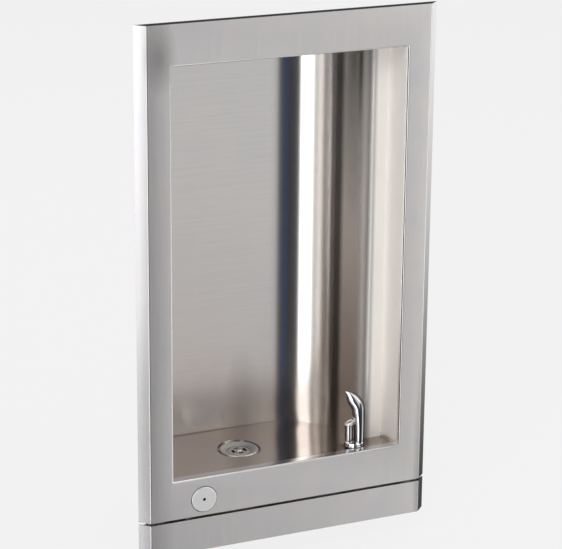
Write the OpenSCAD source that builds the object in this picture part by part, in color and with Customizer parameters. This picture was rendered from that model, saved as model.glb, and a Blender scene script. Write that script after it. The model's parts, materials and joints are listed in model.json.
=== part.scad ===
// Recessed drinking fountain for a wall opening: a stainless steel front with bevelled
// sides, a recess with one deep curved wall, a cross-broken basin with a strainer, a
// chromed hooded bubbler, a self-closing push button valve with its stop and tubes, and
// the rails that carry it all in the wall.
// X runs to the right, Y into the wall and Z up. The origin is the middle of the four
// wall screws, on the finished wall. All sizes are millimetres.

/* [Front] */
// Width of the flat face between its two side bevels
face_w = 429.2; // [415:0.1:460]
// How far the face stands off the wall, and how far each bevel runs outwards
bevel = 14; // [12:0.5:20]
// Height of the upper front
upper_h = 721; // [680:1:780]
// Height of the access panel under it
panel_h = 50; // [46:1:70]
// Open gap between the upper front and the access panel
panel_gap = 4; // [2:0.5:6]
// Thickness of the front sheet
sheet_t = 1.9; // [1.5:0.1:2.3]
// Outer radius of the front sheet's bends
edge_r = 3; // [2.5:0.1:4]

/* [Opening] */
// Width of each stile beside the opening
stile_w = 35; // [32:0.5:42]
// Height of the rail over the opening
rail_top_h = 59; // [54:1:75]
// Height of the rail under the opening
rail_bottom_h = 59; // [57:1:70]
// Depth of the side returns behind the face
return_d = 50; // [44:1:60]
// How far each side return leans inwards over that depth
return_lean = 6.1; // [3:0.1:9]
// Depth of the top return and of the bottom lip
lip_d = 14; // [10:0.5:18]

/* [Recess] */
// Depth of the back wall behind the face
recess_d = 167; // [150:1:185]
// Thickness of the liner sheets
liner_t = 1.2; // [0.9:0.1:1.6]
// Width of the flat shoulder behind the right side return
shoulder_w = 23.5; // [18:0.5:28]
// Width of the flat shoulder behind the left side return
left_shoulder_w = 11.5; // [9:0.5:24]
// Radius of the bend from shoulder to side wall
shoulder_r = 10; // [6:0.5:13]
// How far the left wall spreads outwards to the back
left_splay = 2; // [0:0.5:5]
// Radius of the left back corner
corner_r = 12; // [6:1:20]
// Radius of the large curve at the right
curve_r = 96; // [80:1:100]
// Angle that the large curve turns through
curve_turn = 68; // [64:1:74]
// How far the floor falls from its edges to the strainer
floor_drop = 7; // [5:0.5:10]
// Play left at the ground welds between the liner sheets
seam = 0.1; // [0.05:0.01:0.2]

/* [Strainer and waste] */
// Strainer centre, left of the middle
drain_left = 38; // [20:1:60]
// Strainer centre, behind the face
drain_in = 96; // [88:1:104]
// Diameter of the strainer flange
strainer_d = 58; // [52:1:64]
// Thickness of the strainer flange at its rim
strainer_rim = 2; // [1.5:0.1:2.5]
// Diameter of the threaded drain body
drain_d = 38; // [34:1:42]
// Wall of the drain body
drain_wall = 2.5; // [2:0.1:3.5]
// Length of the drain body under the floor
drain_len = 42; // [36:1:50]
// How deep the grate lies under the flange's rim
grate_dish = 3; // [2:0.1:4]
// Thickness of the grate
grate_t = 1.6; // [1.2:0.1:2]
// Length of each slot of the grate
grate_slot = 13; // [9:0.5:14]
// Width of each slot of the grate
grate_slot_w = 5; // [3.5:0.1:5.5]
// Outer diameter of the tailpiece
tail_d = 31.75; // [28:0.05:32]
// Wall of the tailpiece
tail_wall = 1.2; // [0.9:0.1:1.6]
// Height of the collar rolled into the tailpiece's top
tail_collar = 5; // [4:0.5:8]
// Length of the tailpiece
tail_len = 84; // [70:1:120]

/* [Bubbler] */
// Bubbler centre, in from the right edge of the opening
bubbler_edge = 59.1; // [56:0.1:66]
// Bubbler centre, behind the face
bubbler_in = 30; // [30:0.5:36]
// Height of the bubbler from its seat to the top of its hood
bubbler_h = 87; // [80:0.5:95]
// Diameter of the base flange
base_d = 30; // [26:0.5:30]
// Height of each of the two steps of the base
base_step = 3; // [2:0.1:4]
// Outer radius of the hood's arc
hood_r = 30.2; // [27:0.1:33]
// Thickness of the hood where its arc starts
hood_t = 20; // [16:0.1:21]
// Thickness of the hood's column at the base
hood_foot = 15.6; // [13:0.1:16.4]
// Width of the hood across the stream
hood_w = 20; // [16:0.1:22]
// Diameter of the nozzle
nozzle_d = 12.8; // [11:0.1:13.4]
// Height of the nozzle's mouth over the seat
nozzle_h = 42; // [36:0.5:44]
// Diameter of the water jet
jet_d = 5; // [4:0.1:6]
// Diameter of the threaded shank
shank_d = 16; // [14:0.1:18]
// Length of the shank under the base
shank_len = 36; // [30:1:40]

/* [Push button] */
// Button centre, in from the left edge of the flat face
button_edge = 81.6; // [76:0.1:88]
// Button centre, above the lower edge of the upper front
button_up = 25; // [25:0.5:28]
// Diameter of the button
button_d = 38; // [34:0.5:39]
// Open groove round the button in the face
button_groove = 1.1; // [0.8:0.1:1.4]
// How far the button stands out of the face
button_proud = 1.5; // [1:0.1:3]
// Thickness of the button
button_t = 9; // [8:0.5:11]
// Travel of the button
button_travel = 5; // [3:0.5:6]
// Diameter of the blind hole in the button's middle
button_dot = 4.6; // [3:0.1:6]
// Outer diameter of the guide sleeve
sleeve_d = 43; // [42:0.5:44]
// Wall behind the return spring, at the sleeve's end
sleeve_end = 4; // [3:0.5:6]
// Wire of the return spring
spring_wire = 1.4; // [1:0.1:1.6]
// Mean diameter of the return spring
spring_d = 20; // [17:0.5:24]
// Turns of the return spring
spring_turns = 4.5; // [3.5:0.5:5]
// Diameter of the stem behind the button
stem_d = 8; // [7:0.1:9]

/* [Valve] */
// Diameter of the valve body
valve_d = 28; // [26:0.5:32]
// Length of the valve body
valve_len = 46; // [42:1:54]
// Diameter of the two water chambers
chamber_d = 18; // [16:0.5:20]
// Diameter of the rubber valve disc
disc_d = 14; // [13:0.5:15]
// Diameter of the stream regulator screw
regulator_d = 6; // [5:0.1:7]
// Outer diameter of the water tubes
tube_d = 9.5; // [8:0.1:10]
// Wall of the water tubes
tube_wall = 1; // [0.8:0.1:1.3]
// Radius of the tube bends, to the middle of the tube
tube_bend = 16; // [13:0.5:17]
// Diameter of the threaded ends that the tube nuts close on
boss_d = 16; // [15:0.5:17]
// Width across the corners of the tube nuts
tube_nut_d = 22; // [21:0.5:24]

/* [Stop and line strainer] */
// Stop centre, right of the middle
stop_right = 30; // [24:1:40]
// Water line behind the finished wall
line_in = 118; // [116:0.5:124]
// Stop centre, under the button's centre
stop_down = 43; // [41:1:46]
// Diameter of the stop's body
stop_d = 21; // [19:0.5:23]
// Diameter of the copper supply pipe that enters the stop
inlet_d = 12.8; // [12.7:0.1:13.2]
// Depth of that pipe's socket
inlet_len = 12; // [10:0.5:13]
// Diameter of the line strainer
filter_d = 19; // [17:0.5:22]
// Length of the line strainer
filter_len = 34; // [28:1:40]

/* [Wall frame] */
// Clearance between the recess and each side rail
rail_clear = 10.4; // [10:0.1:14]
// How far the flanges stop short of the front's edge
flange_short = 3.5; // [3:0.1:5]
// Thickness of the rails, hooks and brackets
rail_t = 2; // [1.5:0.1:2.5]
// Depth of the rails in the wall
rail_d = 60; // [50:1:80]
// Width of the rail flange on the wall
rail_flange = 28; // [24:0.5:30]
// Height between the wall screws
screw_span = 640; // [560:1:660]
// Diameter of the wall screw holes
screw_hole = 5.5; // [4.5:0.1:6.5]

/* [Hidden] */

$fn = 64;
fit = 0.05;
slip = 0.3;
cut = 1;
bend_step = 9;

// Heights and depths that everything else hangs from
total_h = upper_h + panel_gap + panel_h;
top_z = total_h / 2;
bottom_z = -top_z;
panel_top_z = bottom_z + panel_h;
upper_z = panel_top_z + panel_gap;
face_y = -bevel;
face_back_y = face_y + sheet_t;
face_hw = face_w / 2;
outer_hw = face_hw + bevel;
open_hw = face_hw - stile_w;
open_z0 = upper_z + rail_bottom_h;
open_z1 = top_z - rail_top_h;

// Plan of the recess
shoulder_y = face_y + return_d;
return_hw = open_hw - return_lean;
shoulder_hw = return_hw - shoulder_w;
cover_hw = open_hw;
back_y = face_y + recess_d;
left_shoulder_x = left_shoulder_w - return_hw;
left_back_x = left_shoulder_x - left_splay;
right_back_x = shoulder_hw - (back_y - shoulder_y) / tan(curve_turn);
wrap_path = [
    [-cover_hw, shoulder_y],
    [left_shoulder_x, shoulder_y],
    [left_back_x, back_y],
    [right_back_x, back_y],
    [shoulder_hw, shoulder_y],
    [cover_hw, shoulder_y]
];
wrap_radii = [shoulder_r, corner_r, curve_r, shoulder_r];
ceiling_z = open_z1 + sheet_t;
lap = 5;

// Basin floor
floor_z = open_z0 - sheet_t - seam;
seat_z = floor_z - floor_drop;
floor_front_y = face_y + lap;
wrap_z0 = seat_z - 8;
drain_x = -drain_left;
drain_y = face_y + drain_in;
seat_r = strainer_d / 2 + 2;
drain_hole_r = drain_d / 2 + slip;

// Bubbler seat
bubbler_x = open_hw - bubbler_edge;
bubbler_y = face_y + bubbler_in;
pad_r = base_d / 2 + 1.2;
pad_z = floor_z - 0.4;
gasket_t = 1;
base_z = pad_z + gasket_t;
stream_turn = atan2(drain_y - bubbler_y, drain_x - bubbler_x);

// Front of the button and the valve line
button_x = button_edge - face_hw;
button_z = upper_z + button_up;
button_r = button_d / 2;
sleeve_bore_r = button_r + fit;
button_y = face_y - button_proud;
button_back_y = button_y + button_t;
button_hollow = 3;
spring_y = button_back_y - button_hollow;
spring_len = 18.5;
sleeve_floor_y = spring_y + spring_len;
sleeve_back_y = sleeve_floor_y + sleeve_end;
ear_x = sleeve_d / 2 + 7;
ear_t = 2;
valve_end_y = sleeve_back_y + valve_len;
stem_r = stem_d / 2;
neck_r = stem_r - 1;
guide_len = 10;
chamber_r = chamber_d / 2;
chamber_y = sleeve_back_y + guide_len;
outlet_y = chamber_y + chamber_r;
web_y = chamber_y + chamber_d;
web_t = 4;
inlet_chamber_y = web_y + web_t;
disc_t = 3;
disc_y = inlet_chamber_y + slip;
stem_end_y = disc_y + disc_t + 1;
boss_r = boss_d / 2;
boss_len = 14;
outlet_x = button_x + valve_d / 2 + boss_len;
cap_flange = 6;
inlet_y = valve_end_y + cap_flange + boss_len;
nut_r = tube_nut_d / 2;
nut_over = 8;
nut_under = 6;
tube_r = tube_d / 2;
tube_hole_r = tube_r + 0.2;
water_r = tube_r - tube_wall;
regulator_r = regulator_d / 2;
tube_lead = 30;
tube_slant = 32;
regulator_out = 6;
regulator_len = valve_d / 2 + regulator_out - neck_r - 1;

// Water line and stop
stop_x = stop_right;
stop_z = button_z - stop_down;
stop_outlet_z = stop_z + stop_d / 2 + nut_over + 0.5;
filter_x = button_x + 45;
line_y = line_in;
stop_front_y = line_y - 22;
stop_back_y = line_y + 16;
stop_rear_y = stop_back_y + inlet_len + 1;
bonnet_len = 10;
stop_stem_r = 3;
stop_head_r = 6;
stop_head_t = 5;
low_z = stop_z + 7;

// Shank and its tube
shank_r = shank_d / 2;
shank_z = base_z - shank_len;

// Rails and fixings
rail_in_hw = cover_hw + rail_clear;
rail_top_z = top_z - flange_short;
rail_web_z = rail_top_z - 15;
rail_deep_z = rail_web_z + rail_t;
screw_x = rail_in_hw + rail_flange / 2 + 2;
inner_flange_y = -rail_t - 0.7;
tab_w = 40;
tab_x = -button_x - sleeve_d / 2 - tab_w / 2 - 11.5;
tab_h = 18;
tongue_x = rail_in_hw - 18;
tongue_w = 32;
tongue_y = 30;
tongue_hole_y = 17;
retainer_r = 3;
panel_screw_x = face_hw - 64.6;
panel_screw_y = (face_y + inner_flange_y) / 2;
panel_screw_r = 2;
hook_x = open_hw / 2;
hook_w = 50;

// Outlines of bent sheet. A path is a list of corners, its sheet lies on the left of it,
// and each corner is bent to its own radius on the path's side.

function unit(v) = v / norm(v);

function left_of(v) = [-v[1], v[0]];

function turned(v, a) = [v[0] * cos(a) - v[1] * sin(a), v[0] * sin(a) + v[1] * cos(a)];

function turn_at(a, b, c) = atan2(cross(b - a, c - b), (b - a) * (c - b));

function corner_shift(a, b, c, t) =
    let (n1 = left_of(unit(b - a)), n2 = left_of(unit(c - b)))
    b + t * (n1 + n2) / (1 + n1 * n2);

function shifted(path, t) =
    let (last = len(path) - 1)
    [for (i = [0:last])
        i == 0 ? path[0] + t * left_of(unit(path[1] - path[0]))
        : i == last ? path[last] + t * left_of(unit(path[last] - path[last - 1]))
        : corner_shift(path[i - 1], path[i], path[i + 1], t)];

function shifted_radii(path, radii, t) =
    [for (i = [0:len(radii) - 1])
        radii[i] - t * sign(turn_at(path[i], path[i + 1], path[i + 2]))];

function bend(a, b, c, r) =
    let (
        turn = turn_at(a, b, c),
        start = b - r * tan(abs(turn) / 2) * unit(b - a),
        centre = start + sign(turn) * r * left_of(unit(b - a)),
        steps = max(3, ceil(abs(turn) / bend_step * (r > 40 ? 4 : 1)))
    )
    [for (i = [0:steps]) centre + turned(start - centre, turn * i / steps)];

function bent(path, radii) =
    concat(
        [path[0]],
        [for (i = [1:len(path) - 2]) each bend(path[i - 1], path[i], path[i + 1], radii[i - 1])],
        [path[len(path) - 1]]
    );

function reversed(list) = [for (i = [len(list) - 1:-1:0]) list[i]];

function mirrored(list) = [for (p = reversed(list)) [-p[0], p[1]]];

function sheet_outline(path, radii, t) =
    concat(bent(path, radii), reversed(bent(shifted(path, t), shifted_radii(path, radii, t))));

// Solids that several pieces share

// A profile drawn in Y and Z, run along X about the middle
module along_x(width) {
    translate([-width / 2, 0, 0]) rotate([90, 0, 90]) linear_extrude(width) children();
}

// A turned or straight piece whose axis runs into the wall
module into_wall(x, y, z) {
    translate([x, y, z]) rotate([-90, 0, 0]) children();
}

// A piece whose axis runs to the right
module to_right(x, y, z) {
    translate([x, y, z]) rotate([0, 90, 0]) children();
}

// The same piece on both sides of the middle
module both_sides() {
    children();
    mirror([1, 0, 0]) children();
}

module ring(outer_r, inner_r, height) {
    difference() {
        cylinder(r = outer_r, h = height);
        translate([0, 0, -cut]) cylinder(r = inner_r, h = height + 2 * cut);
    }
}

module hex_nut(corner_r, hole_r, height) {
    difference() {
        intersection() {
            cylinder(r = corner_r, h = height, $fn = 6);
            rotate_extrude() polygon([
                [0, 0], [corner_r * 0.93, 0], [corner_r, corner_r * 0.07],
                [corner_r, height - corner_r * 0.07], [corner_r * 0.93, height], [0, height]
            ]);
        }
        translate([0, 0, -cut]) cylinder(r = hole_r, h = height + 2 * cut);
    }
}

// A tube nut that covers a threaded end below its shoulder and holds the tube above it
module tube_nut() {
    difference() {
        translate([0, 0, -nut_over]) hex_nut(nut_r, tube_hole_r, nut_over + nut_under);
        translate([0, 0, -nut_over - cut]) cylinder(r = boss_r + 0.15, h = nut_over + cut);
    }
}

// Rows of a frame that carries local X, Y and Z to three directions and a place
function placed(x, y, z, p) = [
    [x[0], y[0], z[0], p[0]],
    [x[1], y[1], z[1], p[1]],
    [x[2], y[2], z[2], p[2]],
    [0, 0, 0, 1]
];

function any_side(d) = abs(d[2]) < 0.9 ? unit(cross(d, [0, 0, 1])) : unit(cross(d, [1, 0, 0]));

// A round rod along a route of points, bent to one radius at each inner point. The bends
// are a hair thicker than the straights, which run a little way into them.
module rod_run(route, r, overrun = 0) {
    last = len(route) - 1;
    into_bend = 0.6;
    swell = 0.04;
    for (i = [1:last]) {
        d = unit(route[i] - route[i - 1]);
        trim_a = i == 1 ? -overrun : route_trim(route, i - 1) - into_bend;
        trim_b = i == last ? -overrun : route_trim(route, i) - into_bend;
        side = any_side(d);
        multmatrix(placed(side, cross(d, side), d, route[i - 1] + trim_a * d))
            cylinder(r = r, h = norm(route[i] - route[i - 1]) - trim_a - trim_b, $fn = 32);
    }
    for (i = [1:last - 1]) {
        d = unit(route[i] - route[i - 1]);
        e = unit(route[i + 1] - route[i]);
        inward = unit(e - (d * e) * d);
        centre = route[i] - route_trim(route, i) * d + tube_bend * inward;
        multmatrix(placed(-inward, d, cross(-inward, d), centre))
            rotate_extrude(angle = acos(d * e), $fn = 96)
                translate([tube_bend, 0]) circle(r = r + swell, $fn = 32);
    }
}

function route_trim(route, i) =
    let (d = unit(route[i] - route[i - 1]), e = unit(route[i + 1] - route[i]))
    tube_bend * tan(acos(d * e) / 2);

module water_tube(route) {
    difference() {
        rod_run(route, tube_r);
        rod_run(route, water_r, cut);
    }
}

// A closed skin over loops of points that run counter-clockwise about the way they go
module skin(loops) {
    rows = len(loops);
    cols = len(loops[0]);
    sides = [for (i = [0:rows - 2], j = [0:cols - 1])
        let (a = i * cols + j, b = i * cols + (j + 1) % cols)
        each [[a, a + cols, b + cols], [a, b + cols, b]]];
    start = [[for (j = [0:cols - 1]) j]];
    finish = [[for (j = [cols - 1:-1:0]) (rows - 1) * cols + j]];
    polyhedron(points = [for (loop = loops) each loop], faces = concat(start, finish, sides));
}

// Front sheets

// Bent outline of the face with its two side bevels
front_path = [[-outer_hw, 0], [-face_hw, face_y], [face_hw, face_y], [outer_hw, 0]];

module bevelled_front(height) {
    difference() {
        linear_extrude(height) polygon(sheet_outline(front_path, [edge_r, edge_r], sheet_t));
        translate([-outer_hw, 0, -cut]) cube([2 * outer_hw, bevel, height + 2 * cut]);
    }
}

// Flat flange of the front, trimmed at a depth
module front_flange(to_y) {
    linear_extrude(sheet_t) intersection() {
        polygon(bent(front_path, [edge_r, edge_r]));
        translate([-outer_hw, face_y]) square([2 * outer_hw, to_y - face_y]);
    }
}

// Side return of the opening: leans inwards from the face to the shoulder
module side_return() {
    past = 4;
    lean = return_lean / return_d;
    path = [
        [return_hw - past * lean, shoulder_y + past],
        [open_hw, face_y],
        [open_hw + 2 * edge_r, face_y]
    ];
    difference() {
        translate([0, 0, open_z0 - 3 * sheet_t])
            linear_extrude(open_z1 - open_z0 + edge_r + 3 * sheet_t) difference() {
                polygon(sheet_outline(path, [edge_r], sheet_t));
                translate([0, shoulder_y]) square([face_w, 2 * past]);
            }
        translate([0, face_y + edge_r, ceiling_z]) cube([face_w, return_d, face_w]);
    }
}

// Lip of the opening's lower edge, at height 0 and pointing into the wall
module lip_strip() {
    path = [[face_y + lip_d, 0], [face_y, 0], [face_y, -2 * edge_r]];
    along_x(2 * (open_hw + edge_r)) polygon(sheet_outline(path, [edge_r], sheet_t));
}

module front_frame() {
    color("silver") difference() {
        union() {
            difference() {
                translate([0, 0, upper_z]) bevelled_front(upper_h);
                translate([-open_hw - edge_r, face_y - cut, open_z0 - edge_r])
                    cube([2 * (open_hw + edge_r), bevel, open_z1 - open_z0 + 2 * edge_r]);
            }
            both_sides() side_return();
            translate([0, 0, open_z0]) lip_strip();
            translate([0, 0, open_z1]) mirror([0, 0, 1]) lip_strip();
            translate([0, 0, top_z - sheet_t]) front_flange(0);
            difference() {
                translate([0, 0, upper_z]) union() {
                    front_flange(inner_flange_y);
                    both_sides()
                        translate([tongue_x - tongue_w / 2, inner_flange_y - cut, 0])
                            cube([tongue_w, tongue_y - inner_flange_y + cut, sheet_t]);
                }
                both_sides() {
                    translate([tab_x - tab_w / 2 - cut, inner_flange_y - sheet_t - slip, upper_z - cut])
                        cube([tab_w + 2 * cut, bevel, sheet_t + 2 * cut]);
                    translate([tongue_x, tongue_hole_y, upper_z - cut])
                        cylinder(r = retainer_r + slip, h = sheet_t + 2 * cut);
                }
            }
        }
        into_wall(button_x, face_y - cut, button_z)
            cylinder(r = button_r + button_groove, h = sheet_t + 2 * cut);
    }
}

module access_panel() {
    color("silver") difference() {
        translate([0, 0, bottom_z]) union() {
            bevelled_front(panel_h);
            front_flange(0);
            translate([0, 0, panel_h - sheet_t]) front_flange(inner_flange_y);
            both_sides()
                translate([tab_x - tab_w / 2, inner_flange_y - sheet_t, panel_h - sheet_t])
                    cube([tab_w, sheet_t, tab_h]);
        }
        both_sides()
            translate([panel_screw_x, panel_screw_y, bottom_z - cut])
                cylinder(r = panel_screw_r + slip, h = sheet_t + 2 * cut);
    }
}

// Recess

module recess_wrap() {
    color("gainsboro") translate([0, 0, wrap_z0]) linear_extrude(ceiling_z - wrap_z0)
        polygon(sheet_outline(wrap_path, wrap_radii, liner_t));
}

module recess_ceiling() {
    front = [[cover_hw, floor_front_y], [-cover_hw, floor_front_y]];
    radii = shifted_radii(wrap_path, wrap_radii, liner_t);
    color("gainsboro") translate([0, 0, ceiling_z]) linear_extrude(liner_t)
        polygon(concat(bent(shifted(wrap_path, liner_t), radii), front));
}

// Room over the cross-broken floor: four planes down to the strainer, with a pressed
// seat for the strainer and a raised pad for the bubbler. The floor is what lies between
// this room and the same room one sheet lower.
module room_over_floor(down) {
    x = open_hw + 2;
    y0 = floor_front_y - 1;
    y1 = back_y + 1;
    over = 20;
    rim = [[-x, y0], [x, y0], [x, y1], [-x, y1]];
    points = concat(
        [for (p = rim) [p[0], p[1], floor_z + over]],
        [for (p = rim) [p[0], p[1], floor_z]],
        [[drain_x, drain_y, seat_z]]
    );
    walls = [for (i = [0:3]) [i, (i + 1) % 4, 4 + (i + 1) % 4, 4 + i]];
    slopes = [for (i = [0:3]) [4 + i, 4 + (i + 1) % 4, 8]];
    translate([0, 0, -down]) difference() {
        union() {
            polyhedron(points = points, faces = concat([[3, 2, 1, 0]], walls, slopes));
            translate([drain_x, drain_y, seat_z]) cylinder(r = seat_r + down, h = over);
        }
        translate([bubbler_x, bubbler_y, seat_z - over]) cylinder(r = pad_r - down, h = pad_z - seat_z + over);
    }
}

module basin_floor() {
    inner = shifted(wrap_path, -seam);
    lean = return_lean / return_d;
    front_hw = open_hw - lean * lap - 2 * seam;
    back_hw = return_hw - 2 * seam;
    outline = bent(inner, shifted_radii(wrap_path, wrap_radii, -seam));
    last = len(outline) - 1;
    walls = [for (i = [1:last - 1]) outline[i]];
    floor_outline = concat(
        [[-back_hw, shoulder_y - seam]], walls, [[back_hw, shoulder_y - seam]],
        [[front_hw, floor_front_y], [-front_hw, floor_front_y]]
    );
    color("lightgray") difference() {
        intersection() {
            translate([0, 0, seat_z - 2 * liner_t]) linear_extrude(floor_drop + 2 * liner_t)
                polygon(floor_outline);
            difference() {
                room_over_floor(liner_t);
                room_over_floor(0);
            }
        }
        translate([drain_x, drain_y, seat_z - 10]) cylinder(r = drain_hole_r, h = 20);
        translate([bubbler_x, bubbler_y, seat_z - 10]) cylinder(r = shank_r + slip, h = 30);
    }
}

// Access panel fixings

module panel_clips() {
    clip_w = 22;
    low = bottom_z + sheet_t;
    color("darkgray") both_sides() difference() {
        translate([panel_screw_x, 0, 0]) along_x(clip_w) polygon([
            [face_back_y, low], [-rail_t, low], [-rail_t, -rail_web_z - cut],
            [-2 * rail_t, -rail_web_z - cut], [-2 * rail_t, low + rail_t], [face_back_y, low + rail_t]
        ]);
        translate([panel_screw_x, panel_screw_y, low - cut])
            cylinder(r = panel_screw_r + fit, h = rail_t + 2 * cut);
    }
}

module panel_screws() {
    color("silver") both_sides() translate([panel_screw_x, panel_screw_y, bottom_z]) {
        rotate_extrude() polygon([
            [0, 0], [0, -1.6], [1.2 * panel_screw_r, -1.6], [1.8 * panel_screw_r, -0.9],
            [1.9 * panel_screw_r, 0]
        ]);
        cylinder(r = panel_screw_r, h = sheet_t + rail_t + 4);
    }
}

// Wall frame

module wall_rail_right() {
    color("slategray") difference() {
        union() {
            translate([rail_in_hw, -rail_t, -rail_top_z]) cube([rail_flange, rail_t, 2 * rail_top_z]);
            translate([rail_in_hw, -rail_t, -rail_deep_z]) cube([rail_t, rail_d + rail_t, 2 * rail_deep_z]);
        }
        for (z = [-screw_span / 2, screw_span / 2])
            into_wall(screw_x, -rail_t - cut, z) cylinder(r = screw_hole / 2, h = rail_t + 2 * cut);
    }
}

module wall_rail_left() {
    mirror([1, 0, 0]) wall_rail_right();
}

module cross_rail() {
    color("slategray") along_x(2 * rail_in_hw) polygon([
        [-rail_t, rail_web_z], [rail_d, rail_web_z], [rail_d, rail_web_z + rail_t],
        [0, rail_web_z + rail_t], [0, rail_top_z], [-rail_t, rail_top_z]
    ]);
}

module wall_rail_top() {
    cross_rail();
}

module wall_rail_bottom() {
    mirror([0, 0, 1]) cross_rail();
}

// Bar with a turned-up lip, under the top rail, and the hooks that hang on the lip
lip_y = 13;
lip_low_z = rail_web_z - 22;
lip_high_z = rail_web_z - 6;

module hanger_bar() {
    back = lip_y + 14;
    color("slategray") along_x(2 * (hook_x + hook_w)) polygon([
        [lip_y, lip_low_z], [back, lip_low_z], [back, rail_web_z - rail_t],
        [back + 22, rail_web_z - rail_t], [back + 22, rail_web_z], [back - rail_t, rail_web_z],
        [back - rail_t, lip_low_z + rail_t], [lip_y + rail_t, lip_low_z + rail_t],
        [lip_y + rail_t, lip_high_z], [lip_y, lip_high_z]
    ]);
}

module hanger_hooks() {
    finger = lip_y + rail_t + slip;
    color("darkgray") both_sides() translate([hook_x, 0, 0]) along_x(hook_w) polygon([
        [face_back_y, lip_low_z], [face_back_y + rail_t, lip_low_z],
        [face_back_y + rail_t, lip_high_z], [finger, lip_high_z], [finger, lip_high_z - 9],
        [finger + rail_t, lip_high_z - 9], [finger + rail_t, lip_high_z + rail_t],
        [face_back_y, lip_high_z + rail_t]
    ]);
}

// Brackets on the side rails, with the bolts that hold the front's tongues down on them

module retainer_brackets() {
    inner = tongue_x - tongue_w / 2 + 1;
    depth = tongue_y - 4;
    color("slategray") both_sides() translate([0, 4, upper_z]) difference() {
        union() {
            translate([inner, 0, -rail_t]) cube([rail_in_hw - inner, depth, rail_t]);
            translate([rail_in_hw - rail_t, 0, -24]) cube([rail_t, depth, 24]);
        }
        translate([tongue_x, tongue_hole_y - 4, -rail_t - cut])
            cylinder(r = retainer_r + slip, h = rail_t + 2 * cut);
    }
}

module retaining_screws() {
    color("silver") both_sides() translate([tongue_x, tongue_hole_y, upper_z - rail_t]) {
        translate([0, 0, -4]) hex_nut(1.8 * retainer_r, 0, 4);
        cylinder(r = retainer_r, h = rail_t + sheet_t + 8);
    }
}

module retaining_nuts() {
    color("silver") both_sides() translate([tongue_x, tongue_hole_y, upper_z + sheet_t])
        hex_nut(1.9 * retainer_r, retainer_r + fit, 5);
}

// Strainer and waste

body_r = drain_d / 2;
body_bore_r = body_r - drain_wall;
grate_z = seat_z + strainer_rim - grate_dish;
grate_r = body_bore_r - slip / 2;
ledge_r = body_bore_r - 1.5;
grate_under_z = grate_z - grate_t;
drain_end_z = seat_z - drain_len;

module strainer_body() {
    flange_r = strainer_d / 2;
    color("gray") translate([drain_x, drain_y, 0]) difference() {
        rotate_extrude() polygon([
            [ledge_r, drain_end_z], [body_r, drain_end_z], [body_r, seat_z],
            [flange_r, seat_z], [flange_r, seat_z + strainer_rim * 0.5],
            [flange_r - strainer_rim * 0.5, seat_z + strainer_rim],
            [flange_r - 2 * strainer_rim, seat_z + strainer_rim],
            [body_bore_r, grate_z], [body_bore_r, grate_under_z], [ledge_r, grate_under_z]
        ]);
        translate([0, 0, drain_end_z - cut]) cylinder(r = ledge_r, h = drain_len - cut);
    }
}

// Four slots laid in a square round the screw
module strainer_grate() {
    reach = grate_r * 0.56;
    color("darkgray") translate([drain_x, drain_y, grate_under_z]) difference() {
        cylinder(r = grate_r, h = grate_t);
        translate([0, 0, -cut]) cylinder(r = 2.5 + fit, h = grate_t + 2 * cut);
        for (turn = [0:90:270]) rotate(turn) translate([reach, 0, -cut]) linear_extrude(grate_t + 2 * cut)
            union() {
                square([grate_slot_w, grate_slot - grate_slot_w - (turn % 180) / 90 * 4], center = true);
                for (end = [-1, 1])
                    translate([0, end * (grate_slot - grate_slot_w - (turn % 180) / 90 * 4) / 2])
                        circle(d = grate_slot_w);
            }
    }
}

module strainer_screw() {
    color("silver") translate([drain_x, drain_y, grate_z]) difference() {
        union() {
            rotate_extrude() polygon([[0, 0], [4, 0], [3.7, 0.9], [2.6, 1.5], [0, 1.7]]);
            translate([0, 0, -12]) cylinder(r = 2.5, h = 12);
        }
        translate([-5, -0.5, 0.8]) cube([10, 1, 2]);
    }
}

drain_ring_r = body_r + slip / 2;
under_seat_z = seat_z - liner_t;

module drain_gasket() {
    color("black") translate([drain_x, drain_y, under_seat_z - 3]) ring(body_r + 9, drain_ring_r, 3);
}

module drain_washer() {
    color("burlywood") translate([drain_x, drain_y, under_seat_z - 4.5]) ring(body_r + 8, drain_ring_r, 1.5);
}

module drain_locknut() {
    color("goldenrod") translate([drain_x, drain_y, under_seat_z - 12.5]) difference() {
        union() {
            cylinder(r = body_r + 5, h = 8);
            for (turn = [0:60:300]) rotate(turn) translate([body_r + 4, -4, 0]) cube([4, 8, 8]);
        }
        translate([0, 0, -cut]) cylinder(r = drain_ring_r, h = 8 + 2 * cut);
    }
}

tail_r = tail_d / 2;
tail_flange_t = 1.5;
collar_r = tail_r + 0.4;
tail_top_z = drain_end_z - 2;

module tailpiece_washer() {
    color("black") translate([drain_x, drain_y, drain_end_z - 2]) ring(body_r, tail_r - tail_wall, 2);
}

module tailpiece() {
    color("lightgray") translate([drain_x, drain_y, tail_top_z - tail_len]) difference() {
        union() {
            cylinder(r = tail_r, h = tail_len);
            translate([0, 0, tail_len - tail_flange_t - tail_collar])
                cylinder(r = collar_r, h = tail_collar + tail_flange_t);
            translate([0, 0, tail_len - tail_flange_t]) cylinder(r = body_r, h = tail_flange_t);
        }
        translate([0, 0, -cut]) cylinder(r = tail_r - tail_wall, h = tail_len + 2 * cut);
    }
}

module tailpiece_nut() {
    low = tail_top_z - tail_flange_t - 3;
    high = drain_end_z + 9;
    color("goldenrod") translate([drain_x, drain_y, 0]) difference() {
        translate([0, 0, low]) cylinder(r = body_r + 4.5, h = high - low, $fn = 8);
        translate([0, 0, low - cut]) cylinder(r = collar_r + slip, h = 10);
        translate([0, 0, low + 3]) cylinder(r = body_r + slip / 2, h = high - low);
    }
}

// Bubbler, with its stream running to the strainer

module at_bubbler() {
    translate([bubbler_x, bubbler_y, base_z]) rotate(stream_turn) children();
}

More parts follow.
